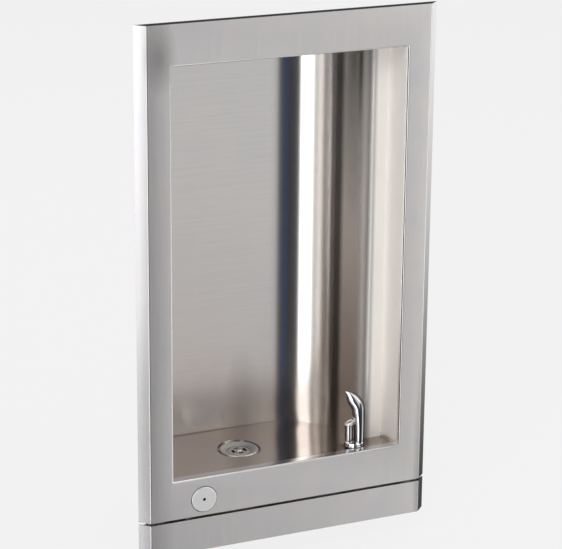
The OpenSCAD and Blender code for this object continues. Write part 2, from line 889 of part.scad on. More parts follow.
// The hood is a horn: a column that thickens as it rises, then an arc over the stream that
// thins to a point. It stands behind the nozzle, which is towards local -X.
hood_out = base_d / 2;
hood_rise = bubbler_h - gasket_t - hood_r;
hood_columns = 7;
hood_arcs = 15;
hood_sides = 16;
hood_last_turn = 87;

function hood_loop(radial, mid, half_t, half_w) =
    [for (k = [0:hood_sides - 1])
        let (a = 360 * k / hood_sides)
        [
            mid[0] + half_t * cos(a) * radial[0],
            half_w * sin(a),
            mid[1] + half_t * cos(a) * radial[1]
        ]];

function column_loop(i) =
    let (
        s = i / hood_columns,
        z = base_step + s * (hood_rise - base_step),
        t = hood_foot + (hood_t - hood_foot) * s * s * s
    )
    hood_loop([1, 0], [hood_out - t / 2, z], t / 2, hood_w / 2 * (0.86 + 0.14 * s));

function arc_loop(i) =
    let (
        turn = hood_last_turn * i / hood_arcs,
        s = turn / 90,
        t = hood_t * (1 - pow(s, 6)),
        radial = [cos(turn), sin(turn)],
        mid = [hood_out - hood_r, hood_rise] + (hood_r - t / 2) * radial
    )
    hood_loop(radial, mid, t / 2, hood_w / 2 * (1 - pow(s, 4)));

module bubbler_hood() {
    rotate(180) skin(concat(
        [for (i = [0:hood_columns]) column_loop(i)],
        [for (i = [1:hood_arcs]) arc_loop(i)]
    ));
}

nozzle_out = base_d / 2 - nozzle_d / 2 - 0.6;

module bubbler_body() {
    foot_r = base_d / 2;
    socket_len = 4;
    color("lightsteelblue") at_bubbler() difference() {
        union() {
            rotate_extrude() polygon([
                [0, 0], [foot_r, 0], [foot_r, base_step * 0.6], [foot_r - 0.8, base_step],
                [foot_r - 1.6, base_step], [foot_r - 1.6, 2 * base_step - 0.8],
                [foot_r - 2.4, 2 * base_step], [0, 2 * base_step]
            ]);
            bubbler_hood();
        }
        translate([0, 0, -cut]) cylinder(r = shank_r + fit, h = socket_len + cut);
        translate([nozzle_out, 0, 2 * base_step - 1.5])
            cylinder(r = nozzle_d / 2 + 0.1, h = nozzle_h - gasket_t - 2 * base_step + 2);
    }
}

// Nozzle with a slanted mouth that throws the stream over the basin
module bubbler_nozzle() {
    r = nozzle_d / 2;
    mouth_lean = 30;
    mouth_z = nozzle_h - gasket_t - r * tan(mouth_lean);
    color("lightsteelblue") at_bubbler() translate([nozzle_out, 0, 0]) difference() {
        translate([0, 0, 2 * base_step - 1.5])
            cylinder(r = r, h = nozzle_h);
        translate([0, 0, mouth_z]) rotate([0, mouth_lean, 0])
            translate([-3 * r, -3 * r, 0]) cube([6 * r, 6 * r, nozzle_h]);
        translate([0, 0, mouth_z]) rotate([0, mouth_lean, 0])
            translate([0, 0, -12]) cylinder(r = jet_d / 2, h = 12 + cut);
        translate([0, 0, mouth_z]) rotate([0, mouth_lean, 0])
            translate([0, 0, -1.2]) cylinder(r = r * 0.72, h = 1.2 + cut);
    }
}

module bubbler_gasket() {
    color("black") translate([bubbler_x, bubbler_y, pad_z])
        ring(base_d / 2 - 1.5, shank_r + slip / 2, gasket_t);
}

module bubbler_shank() {
    color("goldenrod") translate([bubbler_x, bubbler_y, shank_z]) difference() {
        cylinder(r = shank_r, h = shank_len + 4);
        translate([0, 0, -cut]) cylinder(r = water_r, h = shank_len + 4 + 2 * cut);
    }
}

module bubbler_washer() {
    color("silver") translate([bubbler_x, bubbler_y, pad_z - liner_t - 1.5])
        ring(shank_r + 5, shank_r + slip / 2, 1.5);
}

module bubbler_locknut() {
    color("goldenrod") translate([bubbler_x, bubbler_y, pad_z - liner_t - 7.5])
        hex_nut(shank_r + 5, shank_r + slip / 2, 6);
}

module shank_nut() {
    color("goldenrod") translate([bubbler_x, bubbler_y, shank_z]) difference() {
        translate([0, 0, -nut_under]) hex_nut(shank_r + 4, tube_hole_r, nut_over + nut_under);
        cylinder(r = shank_r + 0.15, h = nut_over + cut);
    }
}

// From the valve's side outlet, down and across under the basin, up into the shank
module bubbler_tube() {
    color("peru") water_tube([
        [outlet_x, outlet_y, button_z],
        [outlet_x + tube_lead, outlet_y, button_z],
        [outlet_x + tube_lead + tube_slant, bubbler_y, low_z],
        [bubbler_x, bubbler_y, low_z],
        [bubbler_x, bubbler_y, shank_z]
    ]);
}

// Push button and its guide

module push_button() {
    round_r = 1;
    dot_deep = 3;
    color("whitesmoke") into_wall(button_x, button_y, button_z) difference() {
        rotate_extrude($fn = 96) polygon([
            [0, 0], [button_r - round_r, 0], [button_r - 0.3 * round_r, 0.3 * round_r],
            [button_r, round_r], [button_r, button_t], [0, button_t]
        ]);
        translate([0, 0, -cut]) cylinder(d = button_dot, h = dot_deep + cut);
        translate([0, 0, dot_deep - cut]) cylinder(d1 = button_dot, d2 = 0, h = 0.3 * button_dot);
        translate([0, 0, button_t - button_hollow]) ring(button_r - 3, stem_r + 1.5, button_hollow + cut);
    }
}

module button_stem() {
    shoulder_y = chamber_y - 1;
    color("silver") into_wall(button_x, 0, button_z) {
        translate([0, 0, button_back_y]) cylinder(r = stem_r, h = shoulder_y - button_back_y);
        translate([0, 0, shoulder_y]) cylinder(r = neck_r, h = stem_end_y - shoulder_y);
    }
}

// Return spring: one unbroken wire whose last half turn at each end closes up
spring_sides = 6;
spring_steps = 12;
spring_clear = 0.2;

function spring_lay(s) =
    let (ease = s < 0.11 ? s * 0.35 : s > 0.89 ? 1 - (1 - s) * 0.35 : 0)
    s < 0.11 || s > 0.89 ? ease : 0.0385 + (s - 0.11) * (0.923 / 0.78);

function spring_centre(s) =
    let (
        a = 360 * spring_turns * s,
        run = spring_len - spring_wire - 2 * spring_clear
    )
    [
        spring_d / 2 * cos(a),
        spring_wire / 2 + spring_clear + run * spring_lay(s),
        spring_d / 2 * sin(a)
    ];

function spring_loop(s) =
    let (a = 360 * spring_turns * s)
    [for (k = [0:spring_sides - 1])
        let (b = 360 * k / spring_sides)
        spring_centre(s) + spring_wire / 2 * (cos(b) * [cos(a), 0, sin(a)] + sin(b) * [0, 1, 0])];

spring_count = round(spring_turns * spring_steps);
spring_gap = min([for (i = [0:spring_count - spring_steps])
    norm(spring_centre((i + spring_steps) / spring_count) - spring_centre(i / spring_count))
]) - spring_wire;
echo("least gap between the turns of the button spring", spring_gap);

module button_spring() {
    color("lightgray") translate([button_x, spring_y, button_z])
        skin([for (i = [0:spring_count]) spring_loop(i / spring_count)]);
}

module button_sleeve() {
    outer_r = sleeve_d / 2;
    ear_h = 2 * outer_r - 3;
    color("dimgray") difference() {
        union() {
            into_wall(button_x, face_back_y, button_z) cylinder(r = outer_r, h = sleeve_back_y - face_back_y);
            translate([button_x - ear_x - 7, face_back_y, button_z - ear_h / 2])
                cube([2 * ear_x + 14, ear_t, ear_h]);
        }
        into_wall(button_x, face_back_y - cut, button_z)
            cylinder(r = sleeve_bore_r, h = sleeve_floor_y - face_back_y + cut);
        into_wall(button_x, sleeve_floor_y - cut, button_z)
            cylinder(r = stem_r + fit, h = sleeve_end + 2 * cut);
        for (side = [-1, 1])
            into_wall(button_x + side * ear_x, face_back_y - cut, button_z)
                cylinder(r = 2 + slip, h = ear_t + 2 * cut);
    }
}

module sleeve_studs() {
    color("silver") for (side = [-1, 1])
        into_wall(button_x + side * ear_x, face_back_y, button_z) cylinder(r = 2, h = ear_t + 7);
}

module sleeve_nuts() {
    color("silver") for (side = [-1, 1])
        into_wall(button_x + side * ear_x, face_back_y + ear_t, button_z) hex_nut(4.2, 2 + fit, 3.2);
}

// Valve: pressing the stem lifts the disc off its seat, and water runs from the chamber
// behind the disc, round the thin part of the stem and out at the side

module valve_body() {
    outer_r = valve_d / 2;
    inlet_room = valve_end_y - inlet_chamber_y;
    color("goldenrod") difference() {
        union() {
            into_wall(button_x, sleeve_back_y, button_z) cylinder(r = outer_r, h = valve_len);
            into_wall(button_x, sleeve_back_y, button_z) cylinder(r = outer_r * 1.12, h = 9, $fn = 6);
            to_right(button_x, outlet_y, button_z) cylinder(r = boss_r, h = outlet_x - button_x);
        }
        into_wall(button_x, sleeve_back_y - cut, button_z) cylinder(r = stem_r + fit, h = valve_len);
        into_wall(button_x, chamber_y, button_z) cylinder(r = chamber_r, h = chamber_d);
        into_wall(button_x, inlet_chamber_y, button_z) cylinder(r = chamber_r, h = inlet_room + cut);
        to_right(button_x, outlet_y, button_z) cylinder(r = water_r, h = outlet_x - button_x + cut);
        translate([button_x, outlet_y, button_z - outer_r - cut]) cylinder(r = regulator_r + fit, h = outer_r - neck_r + cut);
    }
}

module valve_disc() {
    color("black") into_wall(button_x, disc_y, button_z) ring(disc_d / 2, neck_r + fit, disc_t);
}

module valve_cap() {
    spigot = 3;
    color("goldenrod") into_wall(button_x, valve_end_y, button_z) difference() {
        union() {
            cylinder(r = valve_d / 2, h = cap_flange, $fn = 6);
            translate([0, 0, -spigot]) cylinder(r = chamber_r - fit, h = spigot + cut);
            cylinder(r = boss_r, h = cap_flange + boss_len);
        }
        translate([0, 0, -spigot - cut])
            cylinder(r = water_r, h = spigot + cap_flange + boss_len + 2 * cut);
    }
}

// Slotted screw that throttles the stream, turned from the access opening
module stream_regulator() {
    color("silver") translate([button_x, outlet_y, button_z - valve_d / 2 - regulator_out]) difference() {
        union() {
            cylinder(r = regulator_r, h = regulator_len - 4);
            translate([0, 0, regulator_len - 4]) cylinder(r1 = regulator_r, r2 = 1, h = 4);
        }
        translate([-regulator_r - cut, -0.6, -cut]) cube([2 * regulator_r + 2 * cut, 1.2, 1.5 + cut]);
    }
}

module outlet_nut() {
    color("goldenrod") to_right(outlet_x, outlet_y, button_z) tube_nut();
}

module inlet_nut() {
    color("goldenrod") into_wall(button_x, inlet_y, button_z) tube_nut();
}

// Supply line, from the stop through the line strainer to the valve

module supply_tube() {
    color("peru") water_tube([
        [filter_x - filter_len / 2, line_y, button_z],
        [button_x, line_y, button_z],
        [button_x, inlet_y, button_z]
    ]);
}

module line_strainer() {
    end_len = 7;
    color("goldenrod") to_right(filter_x - filter_len / 2, line_y, button_z) difference() {
        union() {
            cylinder(r = filter_d / 2, h = filter_len);
            for (z = [-end_len, filter_len]) translate([0, 0, z]) cylinder(r = filter_d / 2 - 1, h = end_len, $fn = 6);
        }
        for (z = [-end_len - cut, filter_len]) translate([0, 0, z]) cylinder(r = tube_hole_r, h = end_len + cut);
        translate([0, 0, -cut]) cylinder(r = water_r, h = filter_len + 2 * cut);
    }
}

module stop_tube() {
    color("peru") water_tube([
        [filter_x + filter_len / 2, line_y, button_z],
        [stop_x, line_y, button_z],
        [stop_x, line_y, stop_outlet_z]
    ]);
}

module stop_outlet_nut() {
    color("goldenrod") translate([stop_x, line_y, stop_outlet_z]) tube_nut();
}

module stop_body() {
    color("goldenrod") difference() {
        union() {
            into_wall(stop_x, stop_front_y, stop_z) cylinder(r = stop_d / 2, h = stop_back_y - stop_front_y);
            into_wall(stop_x, stop_back_y, stop_z) cylinder(r = stop_d / 2 + 2, h = stop_rear_y - stop_back_y, $fn = 6);
            translate([stop_x, line_y, stop_z]) cylinder(r = boss_r, h = stop_outlet_z - stop_z);
        }
        into_wall(stop_x, stop_front_y - cut, stop_z)
            cylinder(r = stop_d / 2 - 3, h = line_y - stop_front_y + water_r + cut);
        translate([stop_x, line_y, stop_z]) cylinder(r = water_r, h = stop_outlet_z - stop_z + cut);
        into_wall(stop_x, line_y, stop_z) cylinder(r = water_r, h = stop_rear_y - line_y);
        into_wall(stop_x, stop_rear_y - inlet_len, stop_z) cylinder(r = inlet_d / 2, h = inlet_len + cut);
    }
}

module stop_bonnet() {
    color("goldenrod") into_wall(stop_x, stop_front_y - bonnet_len, stop_z)
        hex_nut(stop_d / 2 + 1, stop_stem_r + fit, bonnet_len);
}

// Stem with a slotted head that a screwdriver turns a quarter turn
module stop_stem() {
    front = stop_front_y - bonnet_len - stop_head_t - slip;
    color("silver") into_wall(stop_x, front, stop_z) difference() {
        union() {
            cylinder(r = stop_head_r, h = stop_head_t);
            cylinder(r = stop_stem_r, h = line_y - front - 6);
        }
        translate([-stop_head_r - cut, -0.8, -cut]) cube([2 * stop_head_r + 2 * cut, 1.6, 2 + cut]);
    }
}

front_frame();
recess_wrap();
recess_ceiling();
basin_floor();
access_panel();
panel_clips();
panel_screws();
wall_rail_left();
wall_rail_right();
wall_rail_top();
wall_rail_bottom();
hanger_bar();
hanger_hooks();
retainer_brackets();
retaining_screws();
retaining_nuts();
strainer_body();
strainer_grate();
strainer_screw();
drain_gasket();
drain_washer();
drain_locknut();
tailpiece();
tailpiece_washer();
tailpiece_nut();
bubbler_body();
bubbler_nozzle();
bubbler_gasket();
bubbler_shank();
bubbler_washer();
bubbler_locknut();
shank_nut();
bubbler_tube();
push_button();
button_stem();
button_spring();
button_sleeve();
sleeve_studs();
sleeve_nuts();
valve_body();
valve_cap();
valve_disc();
stream_regulator();
outlet_nut();
inlet_nut();
supply_tube();
line_strainer();
stop_tube();
stop_body();
stop_outlet_nut();
stop_bonnet();
stop_stem();
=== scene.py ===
"""Recessed drinking fountain, dressed for its picture.

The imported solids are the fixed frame. Each class below stands for one sub-assembly,
builds its finer meshes over the solids and gives every surface its finish. Sizes are
in millimetres until a mesh is made, and in metres from there on.
"""

from __future__ import annotations

import json
import logging
import math
from dataclasses import dataclass, field, replace
from enum import Enum
from typing import Callable, Iterable, Sequence

import bmesh
import bpy
from mathutils import Matrix, Vector

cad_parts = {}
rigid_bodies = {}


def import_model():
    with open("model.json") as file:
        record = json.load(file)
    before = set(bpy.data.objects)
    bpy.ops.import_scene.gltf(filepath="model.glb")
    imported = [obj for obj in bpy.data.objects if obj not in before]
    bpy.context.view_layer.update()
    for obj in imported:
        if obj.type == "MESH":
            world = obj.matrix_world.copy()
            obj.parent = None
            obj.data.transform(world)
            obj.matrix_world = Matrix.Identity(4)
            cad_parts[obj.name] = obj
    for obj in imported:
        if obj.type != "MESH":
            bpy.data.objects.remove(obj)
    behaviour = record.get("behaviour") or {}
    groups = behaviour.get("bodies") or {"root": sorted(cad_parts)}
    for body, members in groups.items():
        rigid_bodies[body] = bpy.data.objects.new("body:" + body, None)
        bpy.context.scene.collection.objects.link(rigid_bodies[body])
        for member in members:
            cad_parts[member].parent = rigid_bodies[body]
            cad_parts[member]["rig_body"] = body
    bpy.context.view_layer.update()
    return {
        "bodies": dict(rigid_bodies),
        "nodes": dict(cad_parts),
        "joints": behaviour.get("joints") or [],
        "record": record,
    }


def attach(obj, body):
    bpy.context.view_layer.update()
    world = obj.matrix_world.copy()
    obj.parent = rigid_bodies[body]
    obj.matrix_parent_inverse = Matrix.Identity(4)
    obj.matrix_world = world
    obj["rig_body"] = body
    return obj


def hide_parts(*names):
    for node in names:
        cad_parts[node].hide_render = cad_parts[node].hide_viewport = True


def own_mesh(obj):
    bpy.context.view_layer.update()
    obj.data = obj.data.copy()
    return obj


LOG = logging.getLogger("fountain")
MM = 0.001

Point2 = tuple[float, float]
Point3 = tuple[float, float, float]
Colour = tuple[float, float, float]
Object = bpy.types.Object
Material = bpy.types.Material
Node = bpy.types.Node
Socket = bpy.types.NodeSocket
Sockets = bpy.types.NodeOutputs

MERGE = 2e-6  # metres: corners closer than this are one
FLAT = 0.8  # degrees: faces that turn less than this are one


# Sizes


@dataclass(frozen=True)
class Sizes:
    """Main sizes of the fountain, as in its solids, in millimetres."""

    face_y: float = -14.0
    upper_z: float = -333.5
    open_hw: float = 179.6
    open_z0: float = -274.5
    open_z1: float = 328.5
    sheet_t: float = 1.9
    liner_t: float = 1.2
    shoulder_y: float = 36.0
    back_y: float = 153.0
    ceiling_z: float = 330.4
    wrap_z0: float = -291.5
    floor_z: float = -276.5
    seat_z: float = -283.5
    drain: Point2 = (-38.0, 82.0)
    seat_r: float = 31.0
    drain_hole_r: float = 19.3
    bubbler: Point2 = (120.5, 16.0)
    pad_r: float = 16.2
    pad_z: float = -276.9
    base_z: float = -275.9
    shank_r: float = 8.0
    shank_z: float = -311.9
    button: Point2 = (-133.0, -308.5)
    button_y: float = -15.5
    button_r: float = 19.0
    button_t: float = 9.0
    tube_r: float = 4.75
    tube_bend: float = 16.0


SIZES = Sizes()


# Flat outlines of bent sheet


def left_of(v: Vector) -> Vector:
    """The flat direction a quarter turn to the left of v."""
    return Vector((-v.y, v.x))


def turn_at(a: Vector, b: Vector, c: Vector) -> float:
    """Signed angle that a path turns through at b, in radians."""
    u, v = b - a, c - b
    return math.atan2(u.x * v.y - u.y * v.x, u.dot(v))


def shifted(path: Sequence[Vector], t: float) -> list[Vector]:
    """Move every side of a path to its left.

    Args:
        path: Corners of the path.
        t: Distance in millimetres.

    Returns:
        The corners of the moved path.
    """
    last = len(path) - 1
    moved = []
    for i, p in enumerate(path):
        before = left_of((p - path[i - 1]).normalized()) if i else None
        after = left_of((path[i + 1] - p).normalized()) if i < last else None
        if before is None or after is None:
            moved.append(p + t * (after or before))
        else:
            moved.append(p + t * (before + after) / (1 + before.dot(after)))
    return moved


def bent(path: Sequence[Vector], radii: Sequence[float], steps: Sequence[int]) -> list[Vector]:
    """Round each inner corner of a path with an arc.

    Args:
        path: Corners of the path.
        radii: Radius at each inner corner, in millimetres.
        steps: Number of chords of each arc.

    Returns:
        Points along the rounded path.
    """
    points = [path[0]]
    for i, (r, count) in enumerate(zip(radii, steps), start=1):
        a, b, c = path[i - 1], path[i], path[i + 1]
        turn = turn_at(a, b, c)
        u = (b - a).normalized()
        start = b - r * math.tan(abs(turn) / 2) * u
        side = math.copysign(1.0, turn)
        centre = start + side * r * left_of(u)
        for k in range(count + 1):
            points.append(centre + Matrix.Rotation(turn * k / count, 2) @ (start - centre))
    points.append(path[-1])
    return points


# Meshes


@dataclass
class Shape:
    """Corners and faces of a mesh that is being put together, in millimetres."""

    points: list[Vector] = field(default_factory=list)
    faces: list[tuple[int, ...]] = field(default_factory=list)

    def add(self, other: "Shape", place: Matrix | None = None) -> "Shape":
        """Take in another shape.

        Args:
            other: The shape to take in.
            place: Where to put it, or None to leave it as it is.

        Returns:
            This shape.
        """
        base = len(self.points)
        self.points += [place @ p if place else p.copy() for p in other.points]
        self.faces += [tuple(base + i for i in face) for face in other.faces]
        return self

    def moved(self, place: Matrix) -> "Shape":
        """A copy of this shape at another place."""
        return Shape().add(self, place)


def lofted(rows: Sequence[Sequence[Vector]]) -> Shape:
    """Skin over closed rows that run counter-clockwise about the way they go, and cap both ends.

    Args:
        rows: Rows with the same number of points.

    Returns:
        The skin.
    """
    count = len(rows[0])
    shape = Shape([Vector(p) for row in rows for p in row])
    for i in range(len(rows) - 1):
        for j in range(count):
            a, b = i * count + j, i * count + (j + 1) % count
            shape.faces.append((a, b, b + count, a + count))
    top = (len(rows) - 1) * count
    shape.faces.append(tuple(reversed(range(count))))
    shape.faces.append(tuple(range(top, top + count)))
    return shape


def turned(profile: Sequence[Point2], steps: int = 96) -> Shape:
    """Turn a closed profile of radius and height about Z.

    Args:
        profile: Counter-clockwise corners of (radius, height).
        steps: Number of chords round the axis.

    Returns:
        The turned shape. Points on the axis are merged when its mesh is made.
    """
    shape = Shape()
    count = len(profile)
    for i in range(steps):
        a = 2 * math.pi * i / steps
        shape.points += [Vector((r * math.cos(a), r * math.sin(a), h)) for r, h in profile]
    for i in range(steps):
        for j in range(count):
            k = (j + 1) % count
            a, b = i * count, (i + 1) % steps * count
            shape.faces.append((a + j, b + j, b + k, a + k))
    return shape


def drill(radius: float, reach: float, steps: int) -> Shape:
    """An upright cylinder that reaches as far up as down, to cut a hole with."""
    return turned([(0, -reach), (radius, -reach), (radius, reach), (0, reach)], steps)


def strip(inner: Sequence[Vector], outer: Sequence[Vector], z0: float, z1: float, rows: int) -> Shape:
    """A bent sheet of even thickness, standing on its edge.

    Args:
        inner: Points along one face, seen from above.
        outer: As many points along the other face.
        z0: Lower edge.
        z1: Upper edge.
        rows: Number of levels between the two edges.

    Returns:
        The sheet.
    """
    ring = list(inner) + list(reversed(outer))
    count, half = len(ring), len(inner)
    shape = Shape()
    for i in range(rows + 1):
        z = z0 + (z1 - z0) * i / rows
        shape.points += [Vector((p.x, p.y, z)) for p in ring]
    for i in range(rows):
        for j in range(count):
            a, b = i * count + j, i * count + (j + 1) % count
            shape.faces.append((a, b, b + count, a + count))
    top = rows * count
    for j in range(half - 1):
        a, b, c, d = j, j + 1, count - 2 - j, count - 1 - j
        shape.faces.append((d, c, b, a))
        shape.faces.append((top + a, top + b, top + c, top + d))
    return shape


def place_at(x: float, y: float, z: float, turn: Matrix | None = None) -> Matrix:
    """A place in the part's frame, with an optional turn first."""
    return Matrix.Translation((x, y, z)) @ (turn or Matrix.Identity(4))


INTO_WALL = Matrix.Rotation(-math.pi / 2, 4, "X")


def stand(name: str, data: bpy.types.ID) -> Object:
    """Put a mesh, a camera or a lamp in the scene.

    Args:
        name: The object's name.
        data: What it shows.

    Returns:
        The object, at the origin.
    """
    made = bpy.data.objects.new(name, data)
    bpy.context.scene.collection.objects.link(made)
    return made


@dataclass
class Piece:
    """A finished object with what it rides on, stands for and takes its finish from."""

    name: str
    body: str
    slot: str
    nodes: tuple[str, ...] = ()

    def from_shape(self, shape: Shape, smooth: float = 35.0) -> Object:
        """Make the object from a shape in millimetres.

        Args:
            shape: Corners and faces.
            smooth: Edges sharper than this many degrees stay sharp.

        Returns:
            The object, in metres, at the origin.
        """
        mesh = bpy.data.meshes.new(self.name)
        mesh.from_pydata([p * MM for p in shape.points], [], shape.faces)
        mesh.validate()
        work = bmesh.new()
        work.from_mesh(mesh)
        bmesh.ops.remove_doubles(work, verts=work.verts, dist=MERGE)
        bmesh.ops.recalc_face_normals(work, faces=work.faces)
        work.to_mesh(mesh)
        work.free()
        return self.link(mesh, smooth)

    def from_node(self, source: Object, edge: float, smooth: float = 35.0) -> Object:
        """Make a finer copy of a CAD node, with its loose triangles merged and its edges eased.

        Args:
            source: The node's object.
            edge: Width of the eased edges, in millimetres.
            smooth: Edges sharper than this many degrees stay sharp.

        Returns:
            The object.
        """
        mesh = source.data.copy()
        mesh.name = self.name
        mesh.materials.clear()
        for layer in list(mesh.uv_layers):
            mesh.uv_layers.remove(layer)
        work = bmesh.new()
        work.from_mesh(mesh)
        bmesh.ops.remove_doubles(work, verts=work.verts, dist=MERGE)
        bmesh.ops.dissolve_limit(
            work, angle_limit=math.radians(FLAT), verts=work.verts, edges=work.edges
        )
        work.to_mesh(mesh)
        work.free()
        return ease(self.link(mesh, smooth), edge, smooth)

    def link(self, mesh: bpy.types.Mesh, smooth: float) -> Object:
        """Put a mesh in the scene as this piece, smooth between its sharp edges.

        Args:
            mesh: The mesh, in metres.
            smooth: Edges sharper than this many degrees stay sharp.

        Returns:
            The object.
        """
        mesh.shade_smooth()
        mesh.set_sharp_from_angle(angle=math.radians(smooth))
        return stand(self.name, mesh)

    def settle(self, made: Object, finish: Material) -> Object:
        """Give the object its finish and its body, hide the CAD nodes it stands for and log it.

        Args:
            made: The object.
            finish: Its material.

        Returns:
            The object.
        """
        made.data.materials.clear()
        made.data.materials.append(finish)
        for polygon in made.data.polygons:
            polygon.material_index = 0
        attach(made, self.body)
        if self.nodes:
            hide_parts(*self.nodes)
        LOG.info("%s: %d faces, %s", self.name, len(made.data.polygons), finish.name)
        return made


def bake_modifiers(made: Object) -> Object:
    """Turn an object's modifiers into plain mesh.

    Args:
        made: The object.

    Returns:
        The object.
    """
    bpy.context.view_layer.update()
    graph = bpy.context.evaluated_depsgraph_get()
    mesh = bpy.data.meshes.new_from_object(made.evaluated_get(graph), depsgraph=graph)
    made.modifiers.clear()
    made.data = mesh
    return made


def ease(made: Object, width: float, angle: float) -> Object:
    """Round an object's sharp edges a little.

    Args:
        made: The object.
        width: Width of the rounding in millimetres.
        angle: Edges sharper than this many degrees are rounded.

    Returns:
        The object, with plain mesh.
    """
    bevel = made.modifiers.new("edges", "BEVEL")
    bevel.width = width * MM
    bevel.segments = 2
    bevel.limit_method = "ANGLE"
    bevel.angle_limit = math.radians(angle)
    bevel.use_clamp_overlap = True
    bevel.harden_normals = True
    return bake_modifiers(made)


def cut(made: Object, shape: Shape, operation: str = "DIFFERENCE") -> Object:
    """Cut an object with a closed shape.

    Args:
        made: The object.
        shape: The shape, in millimetres.
        operation: DIFFERENCE takes the shape away, INTERSECT keeps what is inside it.

    Returns:
        The object, with plain mesh.
    """
    tool = Piece("cutter", "cabinet", "").from_shape(shape)
    knife = made.modifiers.new("cut", "BOOLEAN")
    knife.object = tool
    knife.operation = operation
    knife.solver = "EXACT"
    bake_modifiers(made)
    bpy.data.objects.remove(tool)
    return made


# Node trees


FLOAT = "NodeSocketFloat"
INTEGER = "NodeSocketInt"
VECTOR = "NodeSocketVector"
ROTATION = "NodeSocketRotation"
COLOUR = "NodeSocketColor"
GEOMETRY = "NodeSocketGeometry"
MATERIAL = "NodeSocketMaterial"


class Wiring:
    """Places nodes in a tree and links them."""

    def __init__(self, tree: bpy.types.NodeTree) -> None:
        """Work on the given tree."""
        self.tree = tree

    def feed(self, node: Node, feeds: dict) -> None:
        """Set or link a node's inputs.

        Args:
            node: The node.
            feeds: Values or sockets for its inputs, by name or index.
        """
        for key, value in feeds.items():
            if isinstance(value, Socket):
                self.tree.links.new(value, node.inputs[key])
            else:
                node.inputs[key].default_value = value

    def put(self, kind: str, feeds: dict | None = None, **settings: object) -> Node:
        """Place a node.

        Args:
            kind: The node's type.
            feeds: Values or sockets for its inputs, by name or index.
            settings: Properties to set on it.

        Returns:
            The node.
        """
        node = self.tree.nodes.new(kind)
        for key, value in settings.items():
            setattr(node, key, value)
        self.feed(node, feeds or {})
        return node

    def group(self, tree: bpy.types.NodeTree, **feeds: object) -> Sockets:
        """Place a shader group and return its outputs."""
        return self.put("ShaderNodeGroup", feeds, node_tree=tree).outputs

    def maths(self, operation: str, *terms: object, clamp: bool = False) -> Socket:
        """Place a Math node and return its result."""
        node = self.put("ShaderNodeMath", dict(enumerate(terms)), operation=operation, use_clamp=clamp)
        return node.outputs[0]

    def vectors(self, operation: str, *terms: object) -> Socket:
        """Place a Vector Math node and return its vector."""
        return self.put("ShaderNodeVectorMath", dict(enumerate(terms)), operation=operation).outputs[0]

    def scaled(self, vector: Socket, factor: object) -> Socket:
        """Scale a vector or a colour."""
        return self.put("ShaderNodeVectorMath", {0: vector, "Scale": factor}, operation="SCALE").outputs[0]

    def length(self, vector: Socket) -> Socket:
        """Measure a vector."""
        return self.put("ShaderNodeVectorMath", {0: vector}, operation="LENGTH").outputs["Value"]

    def parts(self, vector: Socket) -> Sockets:
        """Take a vector apart."""
        return self.put("ShaderNodeSeparateXYZ", {0: vector}).outputs

    def noise(self, place: Socket, scale: object, detail: float, roughness: float = 0.5) -> Sockets:
        """Place a Noise Texture and return its value and its colour."""
        feeds = {"Vector": place, "Scale": scale, "Detail": detail, "Roughness": roughness}
        return self.put("ShaderNodeTexNoise", feeds).outputs

    def mixed(self, share: object, first: object, second: object, blend: str = "MIX") -> Socket:
        """Mix two colours, or lay the second over the first in another way."""
        feeds = {"Factor": share, 6: first, 7: second}
        return self.put("ShaderNodeMix", feeds, data_type="RGBA", blend_type=blend).outputs[2]

    def between(self, share: Socket, first: object, second: object) -> Socket:
        """Mix two numbers."""
        return self.put("ShaderNodeMix", {"Factor": share, 2: first, 3: second}).outputs[0]

    def blended(self, share: object, first: Socket, second: Socket) -> Socket:
        """Mix two shaders."""
        return self.put("ShaderNodeMixShader", {0: share, 1: first, 2: second}).outputs[0]

    def joined(self, *forms: Socket) -> Socket:
        """Join geometries.

        Args:
            forms: The geometries.

        Returns:
            The joined geometry.
        """
        node = self.put("GeometryNodeJoinGeometry")
        for form in forms:
            self.tree.links.new(form, node.inputs[0])
        return node.outputs[0]


# Geometry node trees for what repeats or follows a path


